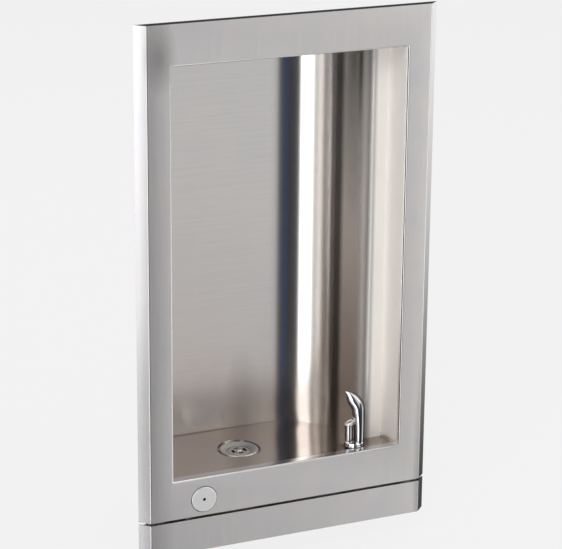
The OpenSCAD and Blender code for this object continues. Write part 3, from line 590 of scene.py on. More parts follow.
class FormTree:
    """A geometry node tree with named inputs that ends in plain, dressed mesh."""

    def __init__(self, name: str, inputs: dict[str, str]) -> None:
        """Start a tree.

        Args:
            name: The tree's name.
            inputs: Socket type of each named input.
        """
        self.tree = bpy.data.node_groups.new(name, "GeometryNodeTree")
        for label, kind in {"Geometry": GEOMETRY, **inputs, "Finish": MATERIAL}.items():
            self.tree.interface.new_socket(label, in_out="INPUT", socket_type=kind)
        self.tree.interface.new_socket("Geometry", in_out="OUTPUT", socket_type=GEOMETRY)
        self.wires = Wiring(self.tree)
        self.given = self.tree.nodes.new("NodeGroupInput").outputs

    def close(self, form: Socket) -> "FormTree":
        """End the tree with real geometry in the finish that is given.

        Args:
            form: The geometry.

        Returns:
            This tree.
        """
        real = self.wires.put("GeometryNodeRealizeInstances", {"Geometry": form})
        dressed = self.wires.put(
            "GeometryNodeSetMaterial",
            {"Geometry": real.outputs[0], "Material": self.given["Finish"]},
        )
        self.wires.put("NodeGroupOutput", {0: dressed.outputs[0]})
        return self

    def grow(
        self, piece: Piece, points: Sequence[Vector], finish: Material, **values: object
    ) -> Object:
        """Run the tree on a line of points and keep the result as plain mesh.

        Args:
            piece: The piece to make.
            points: Points in millimetres, joined in a line.
            finish: The material the tree sets.
            values: Values of the named inputs.

        Returns:
            The object.
        """
        mesh = bpy.data.meshes.new(piece.name)
        line = [(i, i + 1) for i in range(len(points) - 1)]
        mesh.from_pydata([p * MM for p in points], line, [])
        made = stand(piece.name, mesh)
        grown = made.modifiers.new(self.tree.name, "NODES")
        grown.node_group = self.tree
        wanted = {**values, "Finish": finish}
        for item in self.tree.interface.items_tree:
            if item.in_out == "INPUT" and item.name in wanted:
                grown[item.identifier] = wanted[item.name]
        bake_modifiers(made)
        made.data.shade_smooth()
        made.data.set_sharp_from_angle(angle=math.radians(40))
        return made


def round_bar_tree() -> FormTree:
    """Tree that sweeps a round bar along a line of points.

    Returns:
        The tree, with inputs Radius and Sides.
    """
    form = FormTree("round bar on a path", {"Radius": FLOAT, "Sides": INTEGER})
    wires, given = form.wires, form.given
    path = wires.put("GeometryNodeMeshToCurve", {"Mesh": given["Geometry"]})
    ring = wires.put(
        "GeometryNodeCurvePrimitiveCircle",
        {"Resolution": given["Sides"], "Radius": given["Radius"]},
    )
    bar = wires.put(
        "GeometryNodeCurveToMesh",
        {"Curve": path.outputs[0], "Profile Curve": ring.outputs[0], "Fill Caps": True},
    )
    return form.close(bar.outputs[0])


def nut_tree() -> FormTree:
    """Tree that sets a nut with a round hole on every point.

    Returns:
        The tree, with inputs Corner, Hole, Height and Lie.
    """
    form = FormTree(
        "nut on each point",
        {"Corner": FLOAT, "Hole": FLOAT, "Height": FLOAT, "Lie": ROTATION},
    )
    wires, given = form.wires, form.given
    rings = [
        wires.put("GeometryNodeCurvePrimitiveCircle", {"Resolution": sides, "Radius": given[size]})
        for sides, size in ((6, "Corner"), (48, "Hole"))
    ]
    both = wires.joined(*(ring.outputs[0] for ring in rings))
    flat = wires.put("GeometryNodeFillCurve", {"Curve": both}).outputs[0]
    raised = wires.put(
        "GeometryNodeExtrudeMesh",
        {"Mesh": flat, "Offset Scale": given["Height"], "Individual": False},
        mode="FACES",
    )
    under = wires.put("GeometryNodeFlipFaces", {"Mesh": flat})
    whole = wires.joined(raised.outputs[0], under.outputs[0])
    merged = wires.put("GeometryNodeMergeByDistance", {"Geometry": whole, "Distance": 1e-6})
    nuts = wires.put(
        "GeometryNodeInstanceOnPoints",
        {"Points": given["Geometry"], "Instance": merged.outputs[0], "Rotation": given["Lie"]},
    )
    return form.close(nuts.outputs[0])


# Shader groups that several finishes share


class ShaderGroups:
    """The node groups of the finishes, each built once. Each reads its place in metres."""

    def __init__(self) -> None:
        """Build the groups."""
        self.clouds = self.make_clouds()
        self.grain = self.make_grain()
        self.rings = self.make_rings()
        self.spangle = self.make_spangle()
        self.box = self.make_box()
        self.spot = self.make_spot()

    @staticmethod
    def start(
        name: str, inputs: dict[str, tuple[str, object]], outputs: dict[str, str]
    ) -> tuple[Wiring, Sockets, Node]:
        """Start a shader group.

        Args:
            name: The group's name.
            inputs: Socket type and default of each input beside its place.
            outputs: Socket type of each output.

        Returns:
            The wiring, the group's input sockets and its output node.
        """
        tree = bpy.data.node_groups.new(name, "ShaderNodeTree")
        tree.interface.new_socket("Place", in_out="INPUT", socket_type=VECTOR)
        for label, (kind, default) in inputs.items():
            tree.interface.new_socket(label, in_out="INPUT", socket_type=kind).default_value = default
        for label, kind in outputs.items():
            tree.interface.new_socket(label, in_out="OUTPUT", socket_type=kind)
        given = tree.nodes.new("NodeGroupInput").outputs
        return Wiring(tree), given, tree.nodes.new("NodeGroupOutput")

    def make_clouds(self) -> bpy.types.NodeTree:
        """Soft clouding of rolled sheet: it shifts colour and roughness and lifts the skin a hair.

        Returns:
            The group.
        """
        wires, given, out = self.start(
            "clouding",
            {
                "Colour": (COLOUR, (0.6, 0.6, 0.6, 1.0)),
                "Roughness": (FLOAT, 0.2),
                "Patch": (FLOAT, 14.0),
                "Amount": (FLOAT, 0.1),
            },
            {"Colour": COLOUR, "Roughness": FLOAT, "Height": FLOAT},
        )
        fine_scale, fine_share = 6.3, 0.45
        colour_swing, roughness_swing = 0.9, 0.45
        cool, warm = (0.97, 0.99, 1.03, 1.0), (1.03, 1.0, 0.95, 1.0)
        broad = wires.noise(given["Place"], given["Patch"], 4.0, 0.55)[0]
        finer = wires.maths("MULTIPLY", given["Patch"], fine_scale)
        fine = wires.noise(given["Place"], finer, 3.0, 0.6)[0]
        broad_part = wires.maths("MULTIPLY", broad, 1 - fine_share)
        height = wires.maths("MULTIPLY_ADD", fine, fine_share, broad_part)
        swing = wires.maths("MULTIPLY", wires.maths("SUBTRACT", height, 0.5), given["Amount"])
        tinted = wires.mixed(1.0, given["Colour"], wires.mixed(broad, cool, warm), "MULTIPLY")
        shade = wires.maths("ADD", wires.maths("MULTIPLY", swing, colour_swing), 1.0)
        rougher = wires.maths("MULTIPLY", swing, roughness_swing)
        wires.feed(
            out,
            {
                "Colour": wires.scaled(tinted, shade),
                "Roughness": wires.maths("ADD", given["Roughness"], rougher, clamp=True),
                "Height": height,
            },
        )
        return wires.tree

    def make_grain(self) -> bpy.types.NodeTree:
        """Fine parallel scratches that run one way.

        Returns:
            The group.
        """
        wires, given, out = self.start(
            "grain", {"Stretch": (VECTOR, (900.0, 900.0, 12.0))}, {"Height": FLOAT}
        )
        drawn = wires.vectors("MULTIPLY", given["Place"], given["Stretch"])
        wires.feed(out, {"Height": wires.noise(drawn, 1.0, 3.0, 0.7)[0]})
        return wires.tree

    def make_rings(self) -> bpy.types.NodeTree:
        """Concentric tool marks about an axis.

        Returns:
            The group.
        """
        wires, given, out = self.start(
            "turning marks",
            {
                "Centre": (VECTOR, (0.0, 0.0, 0.0)),
                "Across": (VECTOR, (1.0, 0.0, 1.0)),
                "Pitch": (FLOAT, 1800.0),
            },
            {"Height": FLOAT},
        )
        local = wires.vectors("SUBTRACT", given["Place"], given["Centre"])
        radius = wires.length(wires.vectors("MULTIPLY", local, given["Across"]))
        line = wires.put("ShaderNodeCombineXYZ", {0: wires.maths("MULTIPLY", radius, given["Pitch"])})
        wires.feed(out, {"Height": wires.noise(line.outputs[0], 1.0, 4.0, 0.75)[0]})
        return wires.tree

    def make_box(self) -> bpy.types.NodeTree:
        """Mask of a box in space, with soft sides.

        Returns:
            The group.
        """
        wires, given, out = self.start(
            "box",
            {
                "Low": (VECTOR, (0.0, 0.0, 0.0)),
                "High": (VECTOR, (1.0, 1.0, 1.0)),
                "Soft": (FLOAT, 0.002),
            },
            {"Mask": FLOAT},
        )
        mask = None
        for place, low, high in zip(*(wires.parts(given[key]) for key in ("Place", "Low", "High"))):
            for gap in (wires.maths("SUBTRACT", place, low), wires.maths("SUBTRACT", high, place)):
                side = wires.maths("DIVIDE", gap, given["Soft"], clamp=True)
                mask = side if mask is None else wires.maths("MULTIPLY", mask, side)
        wires.feed(out, {"Mask": mask})
        return wires.tree

    def make_spot(self) -> bpy.types.NodeTree:
        """Mask of a soft spot in space: round, or drawn out where its stretch is small.

        Returns:
            The group.
        """
        wires, given, out = self.start(
            "spot",
            {
                "Centre": (VECTOR, (0.0, 0.0, 0.0)),
                "Stretch": (VECTOR, (1.0, 1.0, 1.0)),
                "Radius": (FLOAT, 0.01),
                "Soft": (FLOAT, 0.005),
            },
            {"Mask": FLOAT},
        )
        local = wires.vectors("SUBTRACT", given["Place"], given["Centre"])
        away = wires.length(wires.vectors("MULTIPLY", local, given["Stretch"]))
        inside = wires.maths("SUBTRACT", given["Radius"], away)
        wires.feed(out, {"Mask": wires.maths("DIVIDE", inside, given["Soft"], clamp=True)})
        return wires.tree

    def make_spangle(self) -> bpy.types.NodeTree:
        """Crystal flakes of hot-dip zinc.

        Returns:
            The group.
        """
        wires, given, out = self.start(
            "zinc flakes",
            {"Colour": (COLOUR, (0.6, 0.62, 0.64, 1.0)), "Flake": (FLOAT, 110.0)},
            {"Colour": COLOUR, "Roughness": FLOAT, "Height": FLOAT},
        )
        warp_scale, warp_reach = 60.0, 0.006
        shade_swing, shade_low = 0.28, 0.82
        roughness_swing, roughness_low = 0.22, 0.34
        warp = wires.noise(given["Place"], warp_scale, 2.0)[1]
        place = wires.vectors("ADD", given["Place"], wires.scaled(warp, warp_reach))
        flakes = wires.put("ShaderNodeTexVoronoi", {"Vector": place, "Scale": given["Flake"]})
        tone = wires.put("ShaderNodeSeparateColor", {0: flakes.outputs["Color"]}).outputs[0]
        shade = wires.maths("MULTIPLY_ADD", tone, shade_swing, shade_low)
        wires.feed(
            out,
            {
                "Colour": wires.scaled(given["Colour"], shade),
                "Roughness": wires.maths("MULTIPLY_ADD", tone, roughness_swing, roughness_low),
                "Height": tone,
            },
        )
        return wires.tree


# Finishes


class Surface:
    """A material that is being made."""

    def __init__(self, name: str, groups: ShaderGroups) -> None:
        """Start a material.

        Args:
            name: Its name.
            groups: The shared shader groups.
        """
        self.material = bpy.data.materials.new(name)
        self.material.use_nodes = True
        self.groups = groups
        self.wires = Wiring(self.material.node_tree)
        self.shader = self.material.node_tree.nodes["Principled BSDF"]
        self.place = self.wires.put("ShaderNodeTexCoord").outputs["Object"]

    def group(self, tree: bpy.types.NodeTree, **feeds: object) -> Sockets:
        """Place a shared group on the material's object coordinates."""
        return self.wires.group(tree, Place=self.place, **feeds)

    def close(self, feeds: dict, heights: Iterable[tuple[Socket, float]]) -> Material:
        """Feed the shader, and its normal through one Bump node for each height.

        Args:
            feeds: Values or sockets for the shader's inputs.
            heights: Height sockets with their depths in millimetres.

        Returns:
            The material.
        """
        self.wires.feed(self.shader, feeds)
        normal = {}
        for height, depth in heights:
            bump = {"Height": height, "Strength": 1.0, "Distance": depth * MM, **normal}
            normal = {"Normal": self.wires.put("ShaderNodeBump", bump).outputs[0]}
        self.wires.feed(self.shader, normal)
        return self.material


class Grain(Enum):
    """Which way a finish's fine lines run."""

    NONE = (0.0, 0.0, 0.0)
    UPRIGHT = (1400.0, 1400.0, 25.0)
    LEVEL = (25.0, 1400.0, 1400.0)
    ALL_WAYS = (700.0, 700.0, 700.0)

    def broadened(self) -> Point3:
        """Streaks that run the same way, longer than the lines and five times as wide.

        Returns:
            Their stretch.
        """
        along, across = 0.3, 0.2
        least = min(self.value)
        return tuple((along if c == least else across) * c for c in self.value)


class Turning(Enum):
    """Axis that a turned finish's marks run round: the factors that drop it."""

    NONE = (0.0, 0.0, 0.0)
    ABOUT_Y = (1.0, 0.0, 1.0)
    ABOUT_Z = (1.0, 1.0, 0.0)


def grey(level: float) -> Colour:
    """An even shade."""
    return (level, level, level)


def opaque(colour: Colour) -> tuple[float, float, float, float]:
    """A colour as a node's socket takes it."""
    return (*colour, 1.0)


def metres(place: Point3) -> Point3:
    """A place in millimetres, turned to metres."""
    return tuple(c * MM for c in place)


@dataclass(frozen=True)
class Box:
    """A box, in millimetres and with soft sides, in which a finish differs."""

    low: Point3
    high: Point3
    soft: float

    def mask(self, surface: Surface) -> Socket:
        """Mask of the box in a material."""
        low, high = metres(self.low), metres(self.high)
        return surface.group(surface.groups.box, Low=low, High=high, Soft=self.soft * MM)[0]


@dataclass(frozen=True)
class MattPaintedLightBox(Box):
    """A box in which a sheet is left matt and painted lighter, a painted highlight where strong light
    falls.
    """

    colour: Colour
    roughness: float
    metallic: float


@dataclass(frozen=True)
class Strip(Box):
    """A box of painted shade where its factor is below 1 and of painted light where it is above 1."""

    shade: Colour


@dataclass(frozen=True)
class Spot:
    """A soft spot, in millimetres, of painted shade where its factor is below 1 and of painted light where
    it is above 1.
    """

    centre: Point3
    radius: float
    soft: float
    shade: Colour
    stretch: Point3 = (1.0, 1.0, 1.0)

    def mask(self, surface: Surface) -> Socket:
        """Mask of the spot in a material.

        Args:
            surface: The material that is being made.

        Returns:
            The mask.
        """
        return surface.group(
            surface.groups.spot,
            Centre=metres(self.centre),
            Stretch=self.stretch,
            Radius=self.radius * MM,
            Soft=self.soft * MM,
        )[0]


@dataclass(frozen=True)
class MetalFinish:
    """A metal surface with clouding, lines or turning marks."""

    name: str
    colour: Colour
    roughness: float
    clouding: float = 0.08
    patch: float = 14.0
    grain: Grain = Grain.NONE
    turning: Turning = Turning.NONE
    centre: Point3 = (0.0, 0.0, 0.0)
    pitch: float = 1800.0
    depth: float = 0.02  # of the lines or turning marks, in millimetres
    skin: float = 0.0  # depth of the clouding, in millimetres
    waves: float = 0.0  # depth of long waves in the sheet, in millimetres
    wave_scale: float = 5.0
    drawn: float = 0.0  # how far reflections are drawn out one way
    drawn_turn: float = 0.25
    streaks: float = 0.0  # strength of broad streaks along the grain
    edge_shade: float = 1.0  # least painted shade towards the outline, a painted dark reflection at glancing angles, where it is below 1
    edge_power: float = 0.8
    edge_gain: float = 1.3
    rim: float = 1.0  # tint of reflections at a glancing angle
    matt: MattPaintedLightBox | None = None
    # spots and strips of painted shade and painted light
    painted_light_spots: tuple[Spot | Strip, ...] = ()

    def make(self, groups: ShaderGroups) -> Material:
        """Build the material.

        Args:
            groups: The shared shader groups.

        Returns:
            The material.
        """
        surface = Surface(self.name, groups)
        wires = surface.wires
        clouds = surface.group(
            groups.clouds,
            Colour=opaque(self.colour),
            Roughness=self.roughness,
            Patch=self.patch,
            Amount=self.clouding,
        )
        feeds = {
            "Base Color": self.shaded(surface, clouds["Colour"]),
            "Roughness": clouds["Roughness"],
            "Metallic": 1.0,
            "Specular Tint": opaque(grey(self.rim)),
        }
        if self.drawn > 0:
            feeds["Anisotropic"] = self.drawn
            feeds["Anisotropic Rotation"] = self.drawn_turn
        # the matt box's lighter colour is painted light
        if self.matt:
            mask = self.matt.mask(surface)
            feeds["Base Color"] = wires.mixed(mask, feeds["Base Color"], opaque(self.matt.colour))
            feeds["Roughness"] = wires.between(mask, feeds["Roughness"], self.matt.roughness)
            feeds["Metallic"] = wires.between(mask, 1.0, self.matt.metallic)
        # each spot and strip multiplies its painted shade into the colour, and its painted light where the
        # factor is above 1
        for spot in self.painted_light_spots:
            shade = opaque(spot.shade)
            feeds["Base Color"] = wires.mixed(spot.mask(surface), feeds["Base Color"], shade, "MULTIPLY")
        return surface.close(feeds, self.heights(surface, clouds["Height"]))

    def shaded(self, surface: Surface, colour: Socket) -> Socket:
        """Streak a colour along the grain, and darken it towards the outline as a painted dark reflection
        at glancing angles.

        Args:
            surface: The material that is being made.
            colour: The colour.

        Returns:
            The new colour.
        """
        wires = surface.wires
        if self.streaks > 0:
            lines = surface.group(surface.groups.grain, Stretch=self.grain.broadened())[0]
            shade = wires.maths("MULTIPLY_ADD", lines, self.streaks, 1.0 - self.streaks / 2)
            colour = wires.scaled(colour, shade)
        if self.edge_shade < 1:
            facing = wires.put("ShaderNodeLayerWeight", {"Blend": 0.5}).outputs["Facing"]
            loss = wires.maths("MULTIPLY", wires.maths("POWER", facing, self.edge_power), self.edge_gain)
            shade = wires.maths("MAXIMUM", wires.maths("SUBTRACT", 1.0, loss), self.edge_shade)
            colour = wires.scaled(colour, shade)
        return colour

    def heights(self, surface: Surface, clouds: Socket) -> list[tuple[Socket, float]]:
        """Heights of the lines, turning marks, skin and waves.

        Args:
            surface: The material that is being made.
            clouds: Height of its clouding.

        Returns:
            Height sockets with their depths in millimetres.
        """
        groups = surface.groups
        found = []
        if self.grain is not Grain.NONE:
            lines = surface.group(groups.grain, Stretch=self.grain.value)
            found.append((lines["Height"], self.depth))
        if self.turning is not Turning.NONE:
            centre, across = metres(self.centre), self.turning.value
            marks = surface.group(groups.rings, Centre=centre, Across=across, Pitch=self.pitch)
            found.append((marks["Height"], self.depth))
        if self.skin > 0:
            found.append((clouds, self.skin))
        if self.waves > 0:
            found.append((surface.wires.noise(surface.place, self.wave_scale, 1.0)[0], self.waves))
        return found


@dataclass(frozen=True)
class GalvanisedFinish:
    """Hot-dip zinc with its flakes."""

    name: str
    colour: Colour
    metallic: float = 0.85
    depth: float = 0.02

    def make(self, groups: ShaderGroups) -> Material:
        """Build the material.

        Args:
            groups: The shared shader groups.

        Returns:
            The material.
        """
        surface = Surface(self.name, groups)
        flakes = surface.group(groups.spangle, Colour=opaque(self.colour))
        feeds = {
            "Base Color": flakes["Colour"],
            "Roughness": flakes["Roughness"],
            "Metallic": self.metallic,
        }
        return surface.close(feeds, [(flakes["Height"], self.depth)])


@dataclass(frozen=True)
class MouldedFinish:
    """Rubber, fibre or plastic with a fine moulded skin."""

    name: str
    colour: Colour
    roughness: float
    patch: float = 60.0
    depth: float = 0.05
    clouding: float = 0.16
    pore: float = 1900.0

    def make(self, groups: ShaderGroups) -> Material:
        """Build the material.

        Args:
            groups: The shared shader groups.

        Returns:
            The material.
        """
        surface = Surface(self.name, groups)
        clouds = surface.group(
            groups.clouds,
            Colour=opaque(self.colour),
            Roughness=self.roughness,
            Patch=self.patch,
            Amount=self.clouding,
        )
        pores = surface.group(groups.grain, Stretch=(self.pore, self.pore, self.pore))
        feeds = {"Base Color": clouds["Colour"], "Roughness": clouds["Roughness"]}
        return surface.close(feeds, [(pores["Height"], self.depth)])


DRAIN = (*SIZES.drain, 0.0)
BUTTON = (SIZES.button[0], 0.0, SIZES.button[1])
COLUMN = (1.0, 1.0, 0.0)  # stretch that draws a spot out to an upright column
FAR = 999.0  # beyond the whole part

GRATE_STEEL = MetalFinish(
    "polished grate steel",
    grey(0.66),
    roughness=0.42,
    clouding=0.10,
    patch=50.0,
    turning=Turning.ABOUT_Z,
    centre=DRAIN,
    pitch=1500.0,
    depth=0.003,
)

FINISHES = {
    "satin_steel": MetalFinish(
        "satin rolled steel",
        (0.648, 0.634, 0.637),
        roughness=0.26,
        clouding=0.14,
        patch=16.0,
        grain=Grain.UPRIGHT,
        depth=0.002,
        skin=0.003,
        streaks=0.10,
        # the right return into the recess, left matt and painted lighter: a painted highlight where strong
        # light falls on it
        matt=MattPaintedLightBox((170.0, -9.0, -272.0), (190.0, 60.0, 335.0), 3.0, (0.90, 0.87, 0.83), 0.5, 0.4),
        painted_light_spots=(
            # painted shade along the left side of the face and at its upper corner
            Spot((-212.0, SIZES.face_y, 0.0), 34.0, 30.0, grey(0.74), (1.0, 3.0, 0.0)),
            Spot((-196.0, SIZES.face_y, 342.0), 44.0, 38.0, grey(0.62), (1.6, 3.0, 0.8)),
            # painted shade on the lower parts of the right and the left outer bevel
            Spot((222.0, -7.0, -340.0), 310.0, 300.0, grey(0.28), (16.0, 16.0, 1.0)),
            Spot((-222.0, -7.0, -190.0), 190.0, 130.0, grey(0.80), (12.0, 12.0, 1.0)),
            # a painted highlight on the folded edge at the left of the opening, and painted shade on the
            # folded edges at the right and the top
            Strip(
                (-180.3, -15.0, SIZES.open_z0), (-178.6, -12.4, SIZES.open_z1 + 0.1), 0.3, grey(1.5)
            ),
            Strip(
                (178.4, -15.0, SIZES.open_z0), (180.3, -11.5, SIZES.open_z1 + 0.1), 0.3, grey(0.12)
            ),
            Strip((-178.6, -15.0, 327.0), (179.0, -11.5, 329.3), 0.3, grey(0.35)),
            # painted shade in the gap over the access panel
            Spot((0.0, 18.0, SIZES.upper_z - 1.0), 2.6, 0.8, grey(0.08), (0.0, 0.083, 1.0)),
        ),
    ),
    "liner_steel": MetalFinish(
        "bright rolled steel",
        (0.648, 0.632, 0.624),
        roughness=0.2,
        clouding=0.10,
        patch=9.0,
        grain=Grain.LEVEL,
        depth=0.001,
        waves=0.12,
        drawn=0.85,
        streaks=0.10,
        # the shoulder at the right, left matt and painted lighter: a painted highlight where strong light
        # falls on it
        matt=MattPaintedLightBox((138.0, -20.0, -FAR), (FAR, 62.0, FAR), 12.0, (0.96, 0.925, 0.885), 0.5, 0.36),
        painted_light_spots=(
            # painted shade on the back: a dark reflection at its foot and a darker lower left part, with a
            # painted warm cast of reflected light low down
            Spot((-3.0, SIZES.back_y, -282.0), 36.0, 30.0, grey(0.70), (1.0, 0.0, 0.27)),
            Spot((-50.0, SIZES.back_y, -300.0), 170.0, 110.0, grey(0.93), (1.0, 0.0, 1.0)),
            Spot((-120.0, SIZES.back_y, -280.0), 330.0, 230.0, (1.0, 0.955, 0.935), (1.2, 0.0, 0.8)),
            # dark reflections in the large curve and at its fold to the shoulder
            Spot((125.5, 96.5, 0.0), 12.5, 8.5, grey(0.2), COLUMN),
            Spot((137.0, 71.0, 330.0), 290.0, 290.0, grey(0.22), (7.8, 7.8, 1.0)),
            Spot((140.5, 58.5, 330.0), 150.0, 110.0, grey(0.3), (26.0, 26.0, 1.0)),
            Spot((149.5, 41.0, 0.0), 10.0, 8.0, grey(0.45), COLUMN),
            # painted shade along the inside corner where the back meets the floor
            Spot((-90.0, SIZES.back_y, -276.4), 2.0, 1.5, grey(0.5), (0.012, 0.0, 1.0)),
        ),
    ),
    # the basin's copy of the liner steel, darker and warmer: painted shade with the warm cast of the
    # recess
    "basin_steel_painted_shade": MetalFinish(
        "bright basin steel",
        (0.475, 0.420, 0.380),
        roughness=0.2,
        clouding=0.10,
        patch=12.0,
        grain=Grain.LEVEL,
        depth=0.001,
        waves=0.10,
        streaks=0.10,
        # painted shade on the seat round the strainer's flange
        painted_light_spots=(Spot(DRAIN, 33.2, 1.0, grey(0.5), COLUMN),),
    ),
    "galvanised": GalvanisedFinish("galvanised steel", (0.60, 0.62, 0.64)),
    "zinc_fixings": MetalFinish("bright zinc plate", (0.68, 0.69, 0.70), 0.28, 0.12, 60.0),
    "stainless_fixings": MetalFinish(
        "turned stainless steel", grey(0.70), 0.24, 0.10, 60.0, Grain.ALL_WAYS, depth=0.002
    ),
    "cast_stainless": replace(
        GRATE_STEEL,
        name="polished cast steel",
        colour=grey(0.70),
        # painted shade in the well under the grate
        painted_light_spots=(Spot(DRAIN, 17.2, 0.6, grey(0.04), COLUMN),),
    ),
    "grate_steel": GRATE_STEEL,
    "spring_steel": MetalFinish("spring wire", grey(0.62), 0.25, 0.08, 80.0),
    "turned_button": MetalFinish(
        "turned button steel",
        (0.86, 0.86, 0.865),
        roughness=0.3,
        clouding=0.06,
        patch=40.0,
        turning=Turning.ABOUT_Y,
        centre=BUTTON,
        pitch=2200.0,
        depth=0.004,
        # painted shade in the blind hole
        painted_light_spots=(Spot((BUTTON[0], -13.0, BUTTON[2]), 3.6, 0.6, grey(0.05)),),
    ),
    "turned_steel": MetalFinish("turned steel", grey(0.74), 0.24, 0.06, 60.0),
    "chrome": MetalFinish(
        "polished chrome",
        (0.80, 0.80, 0.82),
        roughness=0.05,
        clouding=0.03,
        patch=30.0,
        # painted dark reflection towards the outline
        edge_shade=0.12,
        rim=0.3,
        # the nozzle's mouth, left matt and painted lighter: a painted highlight on the mouth
        matt=MattPaintedLightBox((100.0, 5.0, -243.5), (118.6, 35.0, -230.0), 0.8, (0.88, 0.86, 0.83), 0.35, 0.5),
        painted_light_spots=(
            # painted shade in the jet's bore, painted light on the step of the base against the outline's
            # painted shade, and a painted dark reflection in the hood
            Spot((113.1, 19.1, -239.0), 4.6, 1.4, grey(0.06)),
            Spot((118.0, 17.0, -270.3), 1.7, 0.6, grey(5.0), (0.06, 0.06, 1.0)),
            Spot((124.8, 3.7, 0.0), 2.9, 1.0, (0.10, 0.12, 0.16), COLUMN),
        ),
    ),
    "brass": MetalFinish(
        "machined brass", (0.80, 0.61, 0.30), 0.24, 0.14, 60.0, Grain.ALL_WAYS, depth=0.003
    ),
    "copper": MetalFinish("drawn copper", (0.80, 0.47, 0.33), 0.26, 0.18, 40.0),
    "black_rubber": MouldedFinish("black rubber", grey(0.035), 0.62),
    "fibre": MouldedFinish("pressed fibre", (0.42, 0.26, 0.16), 0.75, 160.0, 0.12),
    "grey_plastic": MouldedFinish("filled plastic", (0.10, 0.10, 0.105), 0.45, 90.0, 0.04),
}


@dataclass(frozen=True)
class NutSize:
    """Sizes of a nut, in millimetres."""

    corner: float
    hole: float
    height: float
    edge: float


@dataclass
class Workshop:
    """What every sub-assembly needs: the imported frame, the finishes and the trees."""

    frame: dict
    finishes: dict[str, Material]
    round_bar: FormTree
    nut: FormTree

    def piece_for(self, node: str, slot: str) -> Piece:
        """The piece that stands for a CAD node, on the node's own body."""
        return Piece(f"{node}_fine", self.frame["nodes"][node]["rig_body"], slot, (node,))

    def finer(self, node: str, slot: str, edge: float, smooth: float = 35.0) -> Object:
        """Replace a CAD node by a finer copy of it.

        Args:
            node: The node.
            slot: Its material slot in the record, which names its finish.
            edge: Width of its eased edges in millimetres.
            smooth: Edges sharper than this many degrees stay sharp.

        Returns:
            The object.
        """
        piece = self.piece_for(node, slot)
        made = piece.from_node(self.frame["nodes"][node], edge, smooth)
        return piece.settle(made, self.finishes[slot])

    def shaped(
        self, node: str, slot: str, shape: Shape, smooth: float, finish: str | None = None
    ) -> Object:
        """Replace a CAD node by a shape in millimetres, in its slot's finish or in another."""
        piece = self.piece_for(node, slot)
        return piece.settle(piece.from_shape(shape, smooth), self.finishes[finish or slot])

    def swept(self, piece: Piece, points: Sequence[Vector], radius: float, sides: int) -> Object:
        """Make a piece as a round bar along a path.

        Args:
            piece: The piece.
            points: Points along the path, in millimetres.
            radius: Radius of the bar in millimetres.
            sides: Number of its sides.

        Returns:
            The object.
        """
        finish = self.finishes[piece.slot]
        made = self.round_bar.grow(piece, points, finish, Radius=radius * MM, Sides=sides)
        return piece.settle(made, finish)

    def nuts(
        self, node: str, slot: str, points: Sequence[Vector], size: NutSize, lie: Matrix
    ) -> Object:
        """Replace a CAD node of nuts by a nut on each of some points.

        Args:
            node: The node.
            slot: Its material slot in the record.
            points: Where the nuts' lower faces are, in millimetres.
            size: Sizes of each nut.
            lie: Turn from upright to the way the nuts lie.

        Returns:
            The object.
        """
        piece = self.piece_for(node, slot)
        finish = self.finishes[slot]
        made = self.nut.grow(
            piece,
            points,
            finish,
            Corner=size.corner * MM,
            Hole=size.hole * MM,
            Height=size.height * MM,
            Lie=tuple(lie.to_euler()),
        )
        return piece.settle(ease(made, size.edge, 50), finish)


# Sub-assemblies


@dataclass
class Front:
    """The front frame and the access panel under it."""

    fold_edge: float = 0.5

    def build(self, shop: Workshop) -> None:
        """Make the two sheets and the panel's fixings.

        Args:
            shop: The frame, finishes and trees.
        """
        shop.finer("front_frame", "satin_steel", self.fold_edge, smooth=38)
        shop.finer("access_panel", "satin_steel", self.fold_edge, smooth=38)
        shop.finer("panel_clips", "galvanised", 0.3)
        shop.finer("panel_screws", "stainless_fixings", 0.15)


